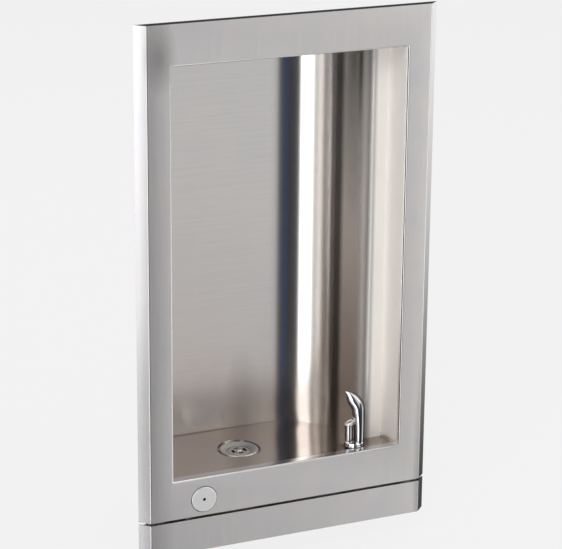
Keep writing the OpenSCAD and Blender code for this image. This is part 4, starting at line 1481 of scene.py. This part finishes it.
@dataclass
class Recess:
    """The wrap, ceiling and basin floor of the recess."""

    left_x: float = -162.0
    left_back_x: float = -164.0
    right_x: float = 150.0
    right_slope: float = 68.0  # degrees
    fold_r: float = 10.0
    corner_r: float = 12.0
    curve_r: float = 96.0
    arc_steps: tuple[int, ...] = (10, 12, 72, 10)
    levels: int = 24
    side_lap: float = 2.0  # where the floor's planes reach their full rise, past the opening
    front_in: float = 4.0  # the same, behind the face
    back_lap: float = 1.0  # the same, past the back
    slab_hw: float = 184.0
    slab_in: float = 3.0
    slab_lap: float = 4.0
    floor_pitch: float = 3.0
    seat_pitch: float = 1.2
    ridge_soft: float = 0.045  # how softly the planes meet
    highest: float = 1.02  # share of the full rise at which the floor stays level
    seat_ease: Point2 = (-0.6, 1.6)  # from and to where the floor leaves the seat's edge
    pad_ease: Point2 = (-0.4, 1.2)  # the same for the bubbler's pad
    setback: float = 5.0  # from the face to the floor's front edge
    return_lean: float = 6.1  # of the side returns, over their depth
    return_depth: float = 50.0
    side_gap: float = 0.2
    wrap_gap: float = 0.1
    past: float = 12.0  # reach of the cutter for the outline, above and below the floor
    through: float = 20.0  # reach of the drills, up and down

    def wrap_path(self) -> list[Vector]:
        """Corners of the wrap's visible side, seen from above.

        Returns:
            The corners, from left to right.
        """
        s = SIZES
        run = (s.back_y - s.shoulder_y) / math.tan(math.radians(self.right_slope))
        corners = (
            (-s.open_hw, s.shoulder_y),
            (self.left_x, s.shoulder_y),
            (self.left_back_x, s.back_y),
            (self.right_x - run, s.back_y),
            (self.right_x, s.shoulder_y),
            (s.open_hw, s.shoulder_y),
        )
        return [Vector(p) for p in corners]

    def outline(self, t: float) -> list[Vector]:
        """Points along the wrap from left to right, at a distance outside its visible side."""
        radii = [self.fold_r - t, self.corner_r + t, self.curve_r + t, self.fold_r - t]
        return bent(shifted(self.wrap_path(), t), radii, self.arc_steps)

    def wrap(self) -> Shape:
        """The bent wall of the recess."""
        inner, outer = self.outline(0.0), self.outline(SIZES.liner_t)
        return strip(inner, outer, SIZES.wrap_z0, SIZES.ceiling_z, self.levels)

    def floor_height(self, x: float, y: float) -> float:
        """Height of the floor: four planes that fall to the strainer, its seat and the bubbler's pad.

        Args:
            x: Place to the right.
            y: Place into the wall.

        Returns:
            The height in millimetres.
        """
        s = SIZES
        half, front, back = s.open_hw + self.side_lap, s.face_y + self.front_in, s.back_y + self.back_lap
        dx, dy = x - s.drain[0], y - s.drain[1]
        shares = [
            dx / (half - s.drain[0]),
            -dx / (half + s.drain[0]),
            dy / (back - s.drain[1]),
            -dy / (s.drain[1] - front),
        ]
        soft = self.ridge_soft
        rise = soft * math.log(sum(math.exp(v / soft) for v in shares))
        z = s.seat_z + (s.floor_z - s.seat_z) * min(rise, self.highest)
        near, far = self.seat_ease
        beyond = smooth_step(s.seat_r + near, s.seat_r + far, math.hypot(dx, dy))
        z = s.seat_z + (z - s.seat_z) * beyond
        near, far = self.pad_ease
        away = math.hypot(x - s.bubbler[0], y - s.bubbler[1])
        return z + (s.pad_z - z) * (1 - smooth_step(s.pad_r + near, s.pad_r + far, away))

    def floor_slab(self) -> Shape:
        """The floor as a slab of even thickness that runs a little past its outline.

        Returns:
            The slab.
        """
        s = SIZES
        xs = self.stations(-self.slab_hw, self.slab_hw, s.drain[0])
        ys = self.stations(s.face_y + self.slab_in, s.back_y + self.slab_lap, s.drain[1])
        shape = Shape([Vector((x, y, self.floor_height(x, y))) for y in ys for x in xs])
        wide, deep = len(xs), len(ys)
        base = wide * deep
        shape.points += [p - Vector((0, 0, s.liner_t)) for p in shape.points]
        for j in range(deep - 1):
            for i in range(wide - 1):
                a = j * wide + i
                shape.faces.append((a, a + 1, a + 1 + wide, a + wide))
                shape.faces.append((base + a, base + a + wide, base + a + 1 + wide, base + a + 1))
        rim = list(range(wide))
        rim += [j * wide + wide - 1 for j in range(1, deep)]
        rim += [(deep - 1) * wide + i for i in range(wide - 2, -1, -1)]
        rim += [j * wide for j in range(deep - 2, 0, -1)]
        for a, b in zip(rim, rim[1:] + rim[:1]):
            shape.faces.append((b, a, base + a, base + b))
        return shape

    def stations(self, low: float, high: float, middle: float) -> list[float]:
        """Steps between two places, closer together across the strainer's seat.

        Args:
            low: First place.
            high: Last place.
            middle: Middle of the seat.

        Returns:
            The places.
        """
        reach = SIZES.seat_r + 3.0
        stretches = (
            (middle - reach, self.floor_pitch),
            (middle + reach, self.seat_pitch),
            (high, self.floor_pitch),
        )
        places = [low]
        for end, pitch in stretches:
            start = places[-1]
            count = math.ceil((end - start) / pitch)
            places += [start + (end - start) * i / count for i in range(1, count + 1)]
        return places

    def floor_outline(self) -> list[Vector]:
        """Outline of the floor, a hair inside the wrap and between the side returns.

        Returns:
            The corners, clockwise from the left.
        """
        s = SIZES
        inner = self.outline(-self.wrap_gap)[1:-1]
        back = s.open_hw - self.return_lean - self.side_gap
        front = s.open_hw - self.return_lean * self.setback / self.return_depth - self.side_gap
        back_y, front_y = s.shoulder_y - self.wrap_gap, s.face_y + self.setback
        ends = [Vector((back, back_y)), Vector((front, front_y)), Vector((-front, front_y))]
        return [Vector((-back, back_y))] + inner + ends

    def floor(self, shop: Workshop) -> None:
        """Cut the floor out of its slab and pierce it for the strainer and the bubbler.

        Args:
            shop: The frame, finishes and trees.
        """
        s = SIZES
        piece = shop.piece_for("basin_floor", "liner_steel")
        made = piece.from_shape(self.floor_slab(), smooth=30)
        ring = list(reversed(self.floor_outline()))
        levels = (s.seat_z - self.past, s.floor_z + self.past)
        cut(made, lofted([[Vector((p.x, p.y, z)) for p in ring] for z in levels]), "INTERSECT")
        holes = Shape()
        for (x, y), r in ((s.drain, s.drain_hole_r), (s.bubbler, s.shank_r + 0.3)):
            holes.add(drill(r, self.through, 64), place_at(x, y, s.seat_z))
        cut(made, holes)
        made.data.shade_smooth()
        made.data.set_sharp_from_angle(angle=math.radians(30))
        # the floor takes the basin's darker copy of the liner steel, painted shade
        piece.settle(made, shop.finishes["basin_steel_painted_shade"])

    def build(self, shop: Workshop) -> None:
        """Make the wrap, the ceiling and the floor.

        Args:
            shop: The frame, finishes and trees.
        """
        shop.shaped("recess_wrap", "liner_steel", self.wrap(), smooth=40)
        shop.finer("recess_ceiling", "liner_steel", 0.3)
        self.floor(shop)


def smooth_step(low: float, high: float, value: float) -> float:
    """Ease from 0 at low to 1 at high."""
    t = min(max((value - low) / (high - low), 0.0), 1.0)
    return t * t * (3 - 2 * t)


@dataclass
class Waste:
    """The strainer in the basin and the waste under it."""

    flange_r: float = 29.0
    rim: float = 2.0
    dish: float = 3.0
    body_r: float = 19.0
    bore_r: float = 16.5
    ledge_r: float = 15.0
    length: float = 42.0
    grate_t: float = 1.6
    slot_w: float = 5.0
    side_slot: float = 13.0
    end_slot: float = 9.0
    slot_place: float = 0.56  # share of the grate's radius
    screw_r: float = 2.5
    screw_l: float = 12.0
    through: float = 6.0  # reach of the cutters, up and down
    thread_pitch: float = 1.8
    ridge_r: float = 0.55

    @property
    def grate_z(self) -> float:
        """Height of the grate's upper face."""
        return SIZES.seat_z + self.rim - self.dish

    def body(self) -> Shape:
        """Flange, dish and threaded tube of the strainer.

        Returns:
            The shape.
        """
        s = SIZES
        top = s.seat_z + self.rim
        grate_top = self.grate_z
        end = s.seat_z - self.length
        r = self.flange_r
        return turned(
            [
                (self.ledge_r, end),
                (self.body_r, end),
                (self.body_r, s.seat_z),
                (r, s.seat_z),
                (r, s.seat_z + 0.7),
                (r - 0.35, top - 0.55),
                (r - 0.95, top - 0.12),
                (r - 1.8, top),
                (r - 3.2, top - 0.15),
                (r - 5.0, top - 0.75),
                (r - 8.0, top - 1.7),
                (r - 10.8, top - 2.4),
                (self.bore_r + 0.4, grate_top + 0.2),
                (self.bore_r, grate_top - 0.2),
                (self.bore_r, grate_top - self.grate_t),
                (self.ledge_r, grate_top - self.grate_t),
            ],
            128,
        ).moved(place_at(*s.drain, 0))

    def slot(self, x: float, y: float, long_x: float, long_y: float) -> list[Vector]:
        """Outline of one rounded slot.

        Args:
            x: Its centre.
            y: Its centre.
            long_x: Its size to the right.
            long_y: Its size into the wall.

        Returns:
            Points round it, counter-clockwise.
        """
        r = min(long_x, long_y) / 2
        points = []
        for k in range(24):
            a = 2 * math.pi * k / 24
            cx = math.copysign(long_x / 2 - r, math.cos(a))
            cy = math.copysign(long_y / 2 - r, math.sin(a))
            points.append(Vector((x + cx + r * math.cos(a), y + cy + r * math.sin(a))))
        return points

    def grate(self, shop: Workshop) -> None:
        """The loose disc, cut by four slots and its screw hole.

        Args:
            shop: The frame, finishes and trees.
        """
        r, t = self.bore_r - 0.15, self.grate_t
        reach = r * self.slot_place
        place = place_at(*SIZES.drain, self.grate_z)
        piece = shop.piece_for("strainer_grate", "cast_stainless")
        disc = turned([(0, -t), (r, -t), (r, -0.35), (r - 0.4, 0), (r - 3, 0.05), (0, 0.25)], 96)
        made = piece.from_shape(disc.moved(place), 30)
        cuts = Shape()
        for x, y, wide, deep in (
            (reach, 0, self.slot_w, self.side_slot),
            (-reach, 0, self.slot_w, self.side_slot),
            (0, reach, self.end_slot, self.slot_w),
            (0, -reach, self.end_slot, self.slot_w),
        ):
            ring = self.slot(x, y, wide, deep)
            levels = (-self.through, self.through)
            cuts.add(lofted([[Vector((p.x, p.y, z)) for p in ring] for z in levels]))
        cuts.add(drill(self.screw_r + 0.05, self.through, 32))
        cut(made, cuts.moved(place))
        piece.settle(ease(made, 0.25, 40), shop.finishes["grate_steel"])

    def screw(self) -> Shape:
        """Domed screw in the middle of the grate.

        Returns:
            The shape.
        """
        shank = [(0.0, -self.screw_l), (self.screw_r, -self.screw_l), (self.screw_r, 0.0)]
        dome = [(4.0, 0.0), (4.0, 0.35), (3.7, 0.95), (2.9, 1.45), (1.6, 1.66), (0.0, 1.7)]
        return turned(shank + dome, 48).moved(place_at(*SIZES.drain, self.grate_z))

    def build(self, shop: Workshop) -> None:
        """Make the strainer with its thread, and dress the waste.

        Args:
            shop: The frame, finishes and trees.
        """
        s = SIZES
        shop.shaped("strainer_body", "cast_stainless", self.body(), smooth=30)
        self.grate(shop)
        shop.shaped("strainer_screw", "stainless_fixings", self.screw(), smooth=40)
        low, high = s.seat_z - self.length + 0.6, s.seat_z - 4.0
        ridge = helix(s.drain, low, high, self.body_r - 0.1, self.thread_pitch)
        shop.swept(Piece("strainer_thread", "cabinet", "cast_stainless"), ridge, self.ridge_r, 4)
        for node, slot in (
            ("drain_gasket", "black_rubber"),
            ("drain_washer", "fibre"),
            ("drain_locknut", "brass"),
            ("tailpiece", "chrome"),
            ("tailpiece_washer", "black_rubber"),
            ("tailpiece_nut", "brass"),
        ):
            shop.finer(node, slot, 0.35)


def helix(
    centre: Point2, z0: float, z1: float, radius: float, pitch: float, steps: int = 30
) -> list[Vector]:
    """Points along a thread about an upright axis.

    Args:
        centre: Place of the axis.
        z0: Lower end.
        z1: Upper end.
        radius: Radius of the thread's path.
        pitch: Rise in one turn.
        steps: Number of chords in one turn.

    Returns:
        The points.
    """
    count = int((z1 - z0) / pitch * steps)
    points = []
    for i in range(count + 1):
        a = 2 * math.pi * i / steps
        x, y = centre[0] + radius * math.cos(a), centre[1] + radius * math.sin(a)
        points.append(Vector((x, y, z0 + pitch * i / steps)))
    return points


@dataclass
class Bubbler:
    """The hooded bubbler and its connection under the basin."""

    height: float = 86.0
    foot_r: float = 15.0
    step: float = 3.0
    hood_r: float = 30.2
    hood_t: float = 20.0
    hood_foot: float = 15.6
    hood_w: float = 20.6
    foot_narrow: float = 0.86  # share of the hood's width that its foot has
    blunt: int = 8  # the higher, the later the arch thins
    taper: int = 6  # the higher, the later the arch narrows
    column_rows: int = 10
    arc_rows: int = 24
    arc_end: float = 87.6  # degrees
    nozzle_r: float = 6.4
    mouth_z: float = 37.3
    mouth_lean: float = 30.0  # degrees
    jet_r: float = 2.5
    sides: int = 28
    thread_pitch: float = 1.3
    ridge_r: float = 0.4

    def place(self) -> Matrix:
        """Where the bubbler stands, turned so that its stream runs to the strainer.

        Returns:
            The place.
        """
        s = SIZES
        turn = math.atan2(s.drain[1] - s.bubbler[1], s.drain[0] - s.bubbler[0])
        return place_at(*s.bubbler, s.base_z, Matrix.Rotation(turn, 4, "Z"))

    def loop(self, radial: Point2, mid: Point2, half_t: float, half_w: float) -> list[Vector]:
        """One closed row of the hood's skin.

        Args:
            radial: Direction across the hood, in its own upright plane.
            mid: Middle of the row in that plane.
            half_t: Half the hood's thickness there.
            half_w: Half its width there.

        Returns:
            The points of the row.
        """
        row = []
        for k in range(self.sides):
            a = 2 * math.pi * k / self.sides
            across = half_t * math.cos(a)
            x, z = mid[0] + across * radial[0], mid[1] + across * radial[1]
            row.append(Vector((-x, -half_w * math.sin(a), z)))
        return row

    def hood(self) -> Shape:
        """A horn that thickens as it rises and arches over the stream to a point.

        Returns:
            The shape.
        """
        rise = self.height - self.hood_r
        rows = []
        for i in range(self.column_rows + 1):
            s = i / self.column_rows
            z = self.step + s * (rise - self.step)
            t = self.hood_foot + (self.hood_t - self.hood_foot) * s**3
            half_w = self.hood_w / 2 * (self.foot_narrow + (1 - self.foot_narrow) * s)
            rows.append(self.loop((1, 0), (self.foot_r - t / 2, z), t / 2, half_w))
        for i in range(1, self.arc_rows + 1):
            turn = math.radians(self.arc_end * i / self.arc_rows)
            s = turn / (math.pi / 2)
            t = self.hood_t * (1 - s**self.blunt)
            half_w = self.hood_w / 2 * (1 - s**self.taper)
            across, up = math.cos(turn), math.sin(turn)
            r = self.hood_r - t / 2
            mid = (self.foot_r - self.hood_r + r * across, rise + r * up)
            rows.append(self.loop((across, up), mid, t / 2, half_w))
        return lofted(rows)

    def base(self) -> Shape:
        """Two round steps with eased edges, over a bore for the shank.

        Returns:
            The shape.
        """
        r, h, bore = self.foot_r, self.step, SIZES.shank_r + 0.06
        lower = [(bore, 0), (r, 0), (r, h * 0.62), (r - 0.25, h * 0.86), (r - 0.8, h), (r - 1.5, h)]
        upper = [(r - 1.6, h + 0.2), (r - 1.6, 2 * h - 0.8), (r - 1.85, 2 * h - 0.25), (r - 2.4, 2 * h)]
        return turned(lower + upper + [(0, 2 * h), (0, 4.0), (bore, 4.0)], 96)

    def nozzle(self) -> Shape:
        """Round nozzle with a slanted, dished mouth.

        Returns:
            The shape.
        """
        lean = math.tan(math.radians(self.mouth_lean))
        out = self.foot_r - self.nozzle_r - 0.6
        jet = self.jet_r / self.nozzle_r
        flat_rows = [(0.98, 4.5), (0.98, 12.0)]
        slanted_rows = [
            (0.98, -3.8),
            (1.0, -3.4),
            (1.08, -3.0),
            (1.10, -2.4),
            (1.10, -0.9),
            (1.07, -0.3),
            (1.0, 0.0),
            (0.80, 0.0),
            (0.72, -0.3),
            (0.62, -1.6),
            (jet, -1.9),
            (jet * 0.96, -2.4),
            (jet * 0.96, -10.0),
        ]
        levels = [(share, z, 0.0) for share, z in flat_rows]
        levels += [(share, self.mouth_z + sunk, lean) for share, sunk in slanted_rows]
        rows = []
        for share, z, slant in levels:
            row = []
            for k in range(48):
                a = 2 * math.pi * k / 48
                x, y = self.nozzle_r * share * math.cos(a), self.nozzle_r * share * math.sin(a)
                row.append(Vector((out + x, y, z - x * slant)))
            rows.append(row)
        return lofted(rows)

    def build(self, shop: Workshop) -> None:
        """Make the bubbler, and dress what joins it under the basin.

        Args:
            shop: The frame, finishes and trees.
        """
        s = SIZES
        place = self.place()
        shape = self.base().moved(place).add(self.hood(), place)
        shop.shaped("bubbler_body", "chrome", shape, smooth=45)
        shop.shaped("bubbler_nozzle", "chrome", self.nozzle().moved(place), smooth=45)
        for node, slot in (
            ("bubbler_gasket", "black_rubber"),
            ("bubbler_shank", "brass"),
            ("bubbler_washer", "zinc_fixings"),
            ("bubbler_locknut", "brass"),
            ("shank_nut", "brass"),
        ):
            shop.finer(node, slot, 0.3)
        low, high = s.shank_z + 0.5, s.pad_z - 9.5
        ridge = helix(s.bubbler, low, high, s.shank_r - 0.1, self.thread_pitch)
        shop.swept(Piece("shank_thread", "cabinet", "brass"), ridge, self.ridge_r, 4)


@dataclass
class ButtonValve:
    """The push button, its guide and the self-closing valve behind it."""

    wire_r: float = 0.7
    coil_r: float = 10.0
    turns: float = 4.5
    spring_y: float = -9.5
    spring_len: float = 18.5
    closed: float = 0.11  # share of the wire that is closed up at each end
    creep: float = 0.35  # how much of an even rise it has there
    press: float = 5.0
    dimple_r: float = 2.3
    hollow: float = 3.0
    stem_r: float = 5.5
    ear_x: float = 28.5
    ear_t: float = 2.0
    ear_nut: NutSize = NutSize(corner=4.2, hole=2.05, height=3.2, edge=0.25)

    def button(self) -> Shape:
        """Turned button with an eased rim and a blind hole in its middle.

        Returns:
            The shape.
        """
        s = SIZES
        r, t, d = s.button_r, s.button_t, self.dimple_r
        hole = [(0.0, 3 + 0.6 * d), (d, 3.0), (d, 0.15), (d + 0.15, 0.0), (d + 0.6, 0.0)]
        face = [(r - 1.4, 0.0), (r - 1.0, 0.0), (r - 0.6, 0.09), (r - 0.29, 0.29)]
        side = [(r - 0.09, 0.6), (r, 1.0), (r, t), (r - 3.0, t), (r - 3.0, t - self.hollow)]
        back = [(self.stem_r, t - self.hollow), (self.stem_r, t), (0.0, t)]
        place = place_at(s.button[0], s.button_y, s.button[1], INTO_WALL)
        return turned(hole + face + side + back, 128).moved(place)

    def lay(self, share: float) -> float:
        """How far along its length the spring is at a share of its wire, closed up at both ends.

        Args:
            share: Share of the wire, from 0 to 1.

        Returns:
            Share of the length.
        """
        if share < self.closed:
            return share * self.creep
        if share > 1 - self.closed:
            return 1 - (1 - share) * self.creep
        start = self.closed * self.creep
        return start + (share - self.closed) * (1 - 2 * start) / (1 - 2 * self.closed)

    def coil(self) -> list[Vector]:
        """Points along the return spring.

        Returns:
            The points.
        """
        x, z = SIZES.button
        run = self.spring_len - 2 * self.wire_r - 0.4
        steps = int(self.turns * 36)
        points = []
        for i in range(steps + 1):
            share = i / steps
            a = 2 * math.pi * self.turns * share
            y = self.spring_y + self.wire_r + 0.2 + run * self.lay(share)
            points.append(Vector((x + self.coil_r * math.cos(a), y, z + self.coil_r * math.sin(a))))
        return points

    def build(self, shop: Workshop) -> None:
        """Make the button, the spring and the small nuts, and dress the valve.

        Args:
            shop: The frame, finishes and trees.
        """
        x, z = SIZES.button
        shop.shaped("push_button", "turned_steel", self.button(), 28, "turned_button")
        wire = shop.piece_for("button_spring", "spring_steel")
        spring = shop.swept(wire, self.coil(), self.wire_r, 14)
        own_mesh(spring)
        ear_y = SIZES.face_y + SIZES.sheet_t + self.ear_t
        ears = [Vector((x + side * self.ear_x, ear_y, z)) for side in (-1, 1)]
        shop.nuts("sleeve_nuts", "stainless_fixings", ears, self.ear_nut, INTO_WALL)
        for node, slot, edge in (
            ("button_stem", "turned_steel", 0.2),
            ("button_sleeve", "grey_plastic", 0.4),
            ("sleeve_studs", "stainless_fixings", 0.2),
            ("valve_body", "brass", 0.35),
            ("valve_cap", "brass", 0.35),
            ("valve_disc", "black_rubber", 0.2),
            ("stream_regulator", "stainless_fixings", 0.2),
            ("outlet_nut", "brass", 0.3),
            ("inlet_nut", "brass", 0.3),
        ):
            shop.finer(node, slot, edge)


def bent_route(route: Sequence[Point3], radius: float) -> list[Vector]:
    """Points along a tube's route, bent to one radius at each inner corner.

    Args:
        route: Corners of the route, in millimetres.
        radius: Bend radius to the middle of the tube.

    Returns:
        The points.
    """
    corners = [Vector(p) for p in route]
    points = [corners[0]]
    for a, b, c in zip(corners, corners[1:], corners[2:]):
        d, e = (b - a).normalized(), (c - b).normalized()
        angle = d.angle(e)
        trim = radius * math.tan(angle / 2)
        inward = (e - d.dot(e) * d).normalized()
        centre = b - trim * d + radius * inward
        count = max(3, math.ceil(math.degrees(angle) / 6))
        for k in range(count + 1):
            t = angle * k / count
            points.append(centre + radius * (-inward * math.cos(t) + d * math.sin(t)))
    points.append(corners[-1])
    return points


@dataclass
class Plumbing:
    """The stop, the line strainer and the water tubes, in millimetres."""

    outlet: Point3 = (-105.0, 32.0, -308.5)
    level_run: float = 30.0
    drop_run: float = 62.0
    low_z: float = -344.5
    inlet_y: float = 79.0
    line_y: float = 118.0
    filter_x: float = -88.0
    filter_half: float = 17.0
    stop_x: float = 30.0
    stop_outlet_z: float = -332.5

    def routes(self) -> dict[str, list[Point3]]:
        """Corners of each tube's route.

        Returns:
            The corners by node.
        """
        bubbler_x, bubbler_y = SIZES.bubbler
        x, z = SIZES.button
        out_x, out_y, _ = self.outlet
        return {
            "bubbler_tube": [
                self.outlet,
                (out_x + self.level_run, out_y, z),
                (out_x + self.drop_run, bubbler_y, self.low_z),
                (bubbler_x, bubbler_y, self.low_z),
                (bubbler_x, bubbler_y, SIZES.shank_z),
            ],
            "supply_tube": [
                (self.filter_x - self.filter_half, self.line_y, z),
                (x, self.line_y, z),
                (x, self.inlet_y, z),
            ],
            "stop_tube": [
                (self.filter_x + self.filter_half, self.line_y, z),
                (self.stop_x, self.line_y, z),
                (self.stop_x, self.line_y, self.stop_outlet_z),
            ],
        }

    def build(self, shop: Workshop) -> None:
        """Bend the tubes and dress the fittings.

        Args:
            shop: The frame, finishes and trees.
        """
        s = SIZES
        for node, route in self.routes().items():
            shop.swept(shop.piece_for(node, "copper"), bent_route(route, s.tube_bend), s.tube_r, 32)
        for node, slot in (
            ("line_strainer", "brass"),
            ("stop_body", "chrome"),
            ("stop_outlet_nut", "brass"),
            ("stop_bonnet", "chrome"),
            ("stop_stem", "turned_steel"),
        ):
            shop.finer(node, slot, 0.35)


@dataclass
class WallFrame:
    """The rails in the wall, the hooks and the retaining fixings."""

    screw_x: float = 172.0
    screw_y: float = 17.0
    nut: NutSize = NutSize(corner=5.7, hole=3.05, height=5.0, edge=0.35)

    def build(self, shop: Workshop) -> None:
        """Dress the rails and brackets, and set the nuts.

        Args:
            shop: The frame, finishes and trees.
        """
        for node in (
            "wall_rail_left",
            "wall_rail_right",
            "wall_rail_top",
            "wall_rail_bottom",
            "hanger_bar",
            "retainer_brackets",
        ):
            shop.finer(node, "galvanised", 0.4)
        shop.finer("hanger_hooks", "liner_steel", 0.4)
        shop.finer("retaining_screws", "zinc_fixings", 0.2)
        z = SIZES.upper_z + SIZES.sheet_t
        points = [Vector((side * self.screw_x, self.screw_y, z)) for side in (-1, 1)]
        shop.nuts("retaining_nuts", "zinc_fixings", points, self.nut, Matrix.Identity(4))


# Studio


@dataclass
class Studio:
    """Camera, lamps, floor and the surroundings that the metal mirrors.

    The eye is in millimetres, and the floor and the lamps are in metres. A band has its
    direction in degrees, its colour and how much it fades below eye level.
    """

    eye: Point3 = (-1263.411, -2783.651, 993.318)
    right: Point3 = (0.91276379, -0.40839763, 0.00858105)
    up: Point3 = (0.11759878, 0.2828334, 0.95193266)
    ahead: Point3 = (0.39119405, 0.86788055, -0.30618715)
    lens: float = 144.53
    floor_z: float = -0.425
    backdrop: float = 0.896
    even: float = 0.62  # light from all round on what isn't glossy
    fade_from: float = -0.18
    fade_to: float = -0.46
    fade_gain: float = 1.3
    fade_floor: float = 0.04
    floor_half: float = 6.0
    floor_grey: float = 0.82
    floor_glow: float = 0.93
    bands: tuple[tuple[float, Colour, float], ...] = (
        (0.0, (0.90, 0.90, 0.90), 0.8),
        (20.0, (1.42, 1.42, 1.44), 1.0),
        (36.0, (1.36, 1.36, 1.38), 1.0),
        (44.0, (0.05, 0.05, 0.06), 0.0),
        (84.0, (0.05, 0.05, 0.06), 0.0),
        (100.0, (0.40, 0.40, 0.40), 0.2),
        (170.0, (0.60, 0.60, 0.60), 0.3),
        (190.0, (2.30, 2.33, 2.42), 0.62),
        (203.0, (2.30, 2.33, 2.42), 0.62),
        (206.0, (0.95, 0.94, 0.90), 0.2),
        (213.0, (0.86, 0.84, 0.80), 0.0),
        (217.0, (3.20, 3.20, 3.20), 0.0),
        (234.5, (3.20, 3.20, 3.20), 0.0),
        (239.0, (0.09, 0.09, 0.09), 0.0),
        (257.0, (0.06, 0.06, 0.07), 0.0),
        (260.0, (0.06, 0.08, 0.15), 0.0),
        (266.0, (0.06, 0.08, 0.14), 0.0),
        (269.0, (0.10, 0.11, 0.12), 0.0),
        (273.0, (0.16, 0.16, 0.17), 0.0),
        (280.0, (0.72, 0.72, 0.72), 0.25),
        (292.0, (0.84, 0.84, 0.84), 0.25),
        (299.0, (0.70, 0.70, 0.70), 0.12),
        (312.0, (1.15, 1.14, 1.10), 0.25),
        (318.0, (2.80, 2.75, 2.60), 0.25),
        (327.0, (2.80, 2.75, 2.60), 0.25),
        (336.0, (0.80, 0.79, 0.76), 0.3),
        (350.0, (0.70, 0.70, 0.68), 0.5),
        (360.0, (0.90, 0.90, 0.90), 0.8),
    )

    def camera(self) -> None:
        """Stand the camera where the photograph was taken from."""
        data = bpy.data.cameras.new("camera")
        data.lens = self.lens
        data.sensor_width = 36.0
        data.clip_end = 50.0
        made = stand("camera", data)
        axes = Matrix((self.right, self.up, tuple(-c for c in self.ahead))).transposed()
        made.matrix_world = Matrix.Translation(Vector(self.eye) * MM) @ axes.to_4x4()
        bpy.context.scene.camera = made

    def world(self) -> None:
        """White behind the object, and soft bands round it for glossy metal to mirror."""
        world = bpy.data.worlds.new("studio")
        bpy.context.scene.world = world
        world.use_nodes = True
        tree = world.node_tree
        tree.nodes.clear()
        wires = Wiring(tree)
        way = wires.put("ShaderNodeTexCoord").outputs["Generated"]
        parts = wires.parts(way)
        angle = wires.maths("ARCTAN2", parts[1], parts[0])
        share = wires.maths("FRACT", wires.maths("ADD", wires.maths("DIVIDE", angle, 2 * math.pi), 1.0))
        ramp = wires.put("ShaderNodeValToRGB", {0: share})
        stops = ramp.color_ramp.elements
        while len(stops) > 1:
            stops.remove(stops[-1])
        stops[0].position = 0.0
        stops[0].color = (*self.bands[0][1], self.bands[0][2])
        for degrees, colour, fall in self.bands[1:]:
            stops.new(degrees / 360).color = (*colour, fall)
        depth = wires.put(
            "ShaderNodeMapRange",
            {"Value": parts[2], "From Min": self.fade_from, "From Max": self.fade_to},
        )
        fall = wires.maths("MULTIPLY", depth.outputs[0], ramp.outputs[1])
        loss = wires.maths("MULTIPLY", fall, self.fade_gain)
        left = wires.maths("MAXIMUM", wires.maths("SUBTRACT", 1.0, loss), self.fade_floor)
        shaded = wires.scaled(ramp.outputs[0], left)
        light = wires.put("ShaderNodeLightPath").outputs
        mirrored = wires.mixed(light["Is Glossy Ray"], opaque(grey(self.even)), shaded)
        seen = wires.mixed(light["Is Camera Ray"], mirrored, opaque(grey(self.backdrop)))
        glow = wires.put("ShaderNodeBackground", {"Color": seen, "Strength": 1.0})
        wires.put("ShaderNodeOutputWorld", {0: glow.outputs[0]})

    def floor(self) -> None:
        """A plain pale floor that keeps a soft shadow and lets the metal mirror the bands through it."""
        mesh = bpy.data.meshes.new("floor")
        half, z = self.floor_half, self.floor_z
        corners = [(-half, -half, z), (half, -half, z), (half, half, z), (-half, half, z)]
        mesh.from_pydata(corners, [], [(0, 1, 2, 3)])
        made = stand("floor", mesh)
        material = bpy.data.materials.new("pale floor")
        material.use_nodes = True
        material.node_tree.nodes.clear()
        wires = Wiring(material.node_tree)
        light = wires.put("ShaderNodeLightPath").outputs
        matt = wires.put("ShaderNodeBsdfDiffuse", {"Color": opaque(grey(self.floor_grey))}).outputs[0]
        pale = {"Color": opaque(grey(self.backdrop)), "Strength": 1.0}
        glow = wires.put("ShaderNodeEmission", pale).outputs[0]
        clear = wires.put("ShaderNodeBsdfTransparent").outputs[0]
        shown = wires.blended(self.floor_glow, matt, glow)
        by_eye = wires.blended(light["Is Camera Ray"], matt, shown)
        by_gloss = wires.blended(light["Is Glossy Ray"], by_eye, clear)
        wires.put("ShaderNodeOutputMaterial", {0: by_gloss})
        mesh.materials.append(material)

    def lamp(self, name: str, place: Point3, size: float, power: float) -> None:
        """Add a soft square lamp that looks at the fountain.

        Args:
            name: Its name.
            place: Where it stands, in metres.
            size: Its side in metres.
            power: Its power in watts.
        """
        data = bpy.data.lights.new(name, "AREA")
        data.size = size
        data.energy = power
        made = stand(name, data)
        made.location = place
        made.rotation_mode = "QUATERNION"
        made.rotation_quaternion = (-Vector(place)).to_track_quat("-Z", "Y")
        made.visible_glossy = False

    def build(self) -> None:
        """Set up the whole studio."""
        self.camera()
        self.world()
        self.floor()
        for name, place, size, power in (
            ("key", (-1.6, -2.2, 2.4), 1.4, 45.0),
            ("fill", (2.2, -1.8, 1.2), 1.6, 18.0),
            ("back", (0.4, 2.4, 2.2), 1.6, 22.0),
        ):
            self.lamp(name, place, size, power)
        bpy.context.scene.view_settings.view_transform = "Standard"


def main() -> None:
    """Load the frame, build every sub-assembly in order and set up the studio."""
    logging.basicConfig(level=logging.INFO, format="%(name)s: %(message)s")
    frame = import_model()
    groups = ShaderGroups()
    shop = Workshop(
        frame=frame,
        finishes={slot: finish.make(groups) for slot, finish in FINISHES.items()},
        round_bar=round_bar_tree(),
        nut=nut_tree(),
    )
    makers: list[Callable[[Workshop], None]] = [
        Front().build,
        Recess().build,
        Waste().build,
        Bubbler().build,
        ButtonValve().build,
        Plumbing().build,
        WallFrame().build,
    ]
    for make in makers:
        make(shop)
    Studio().build()


if __name__ == "__main__":
    main()
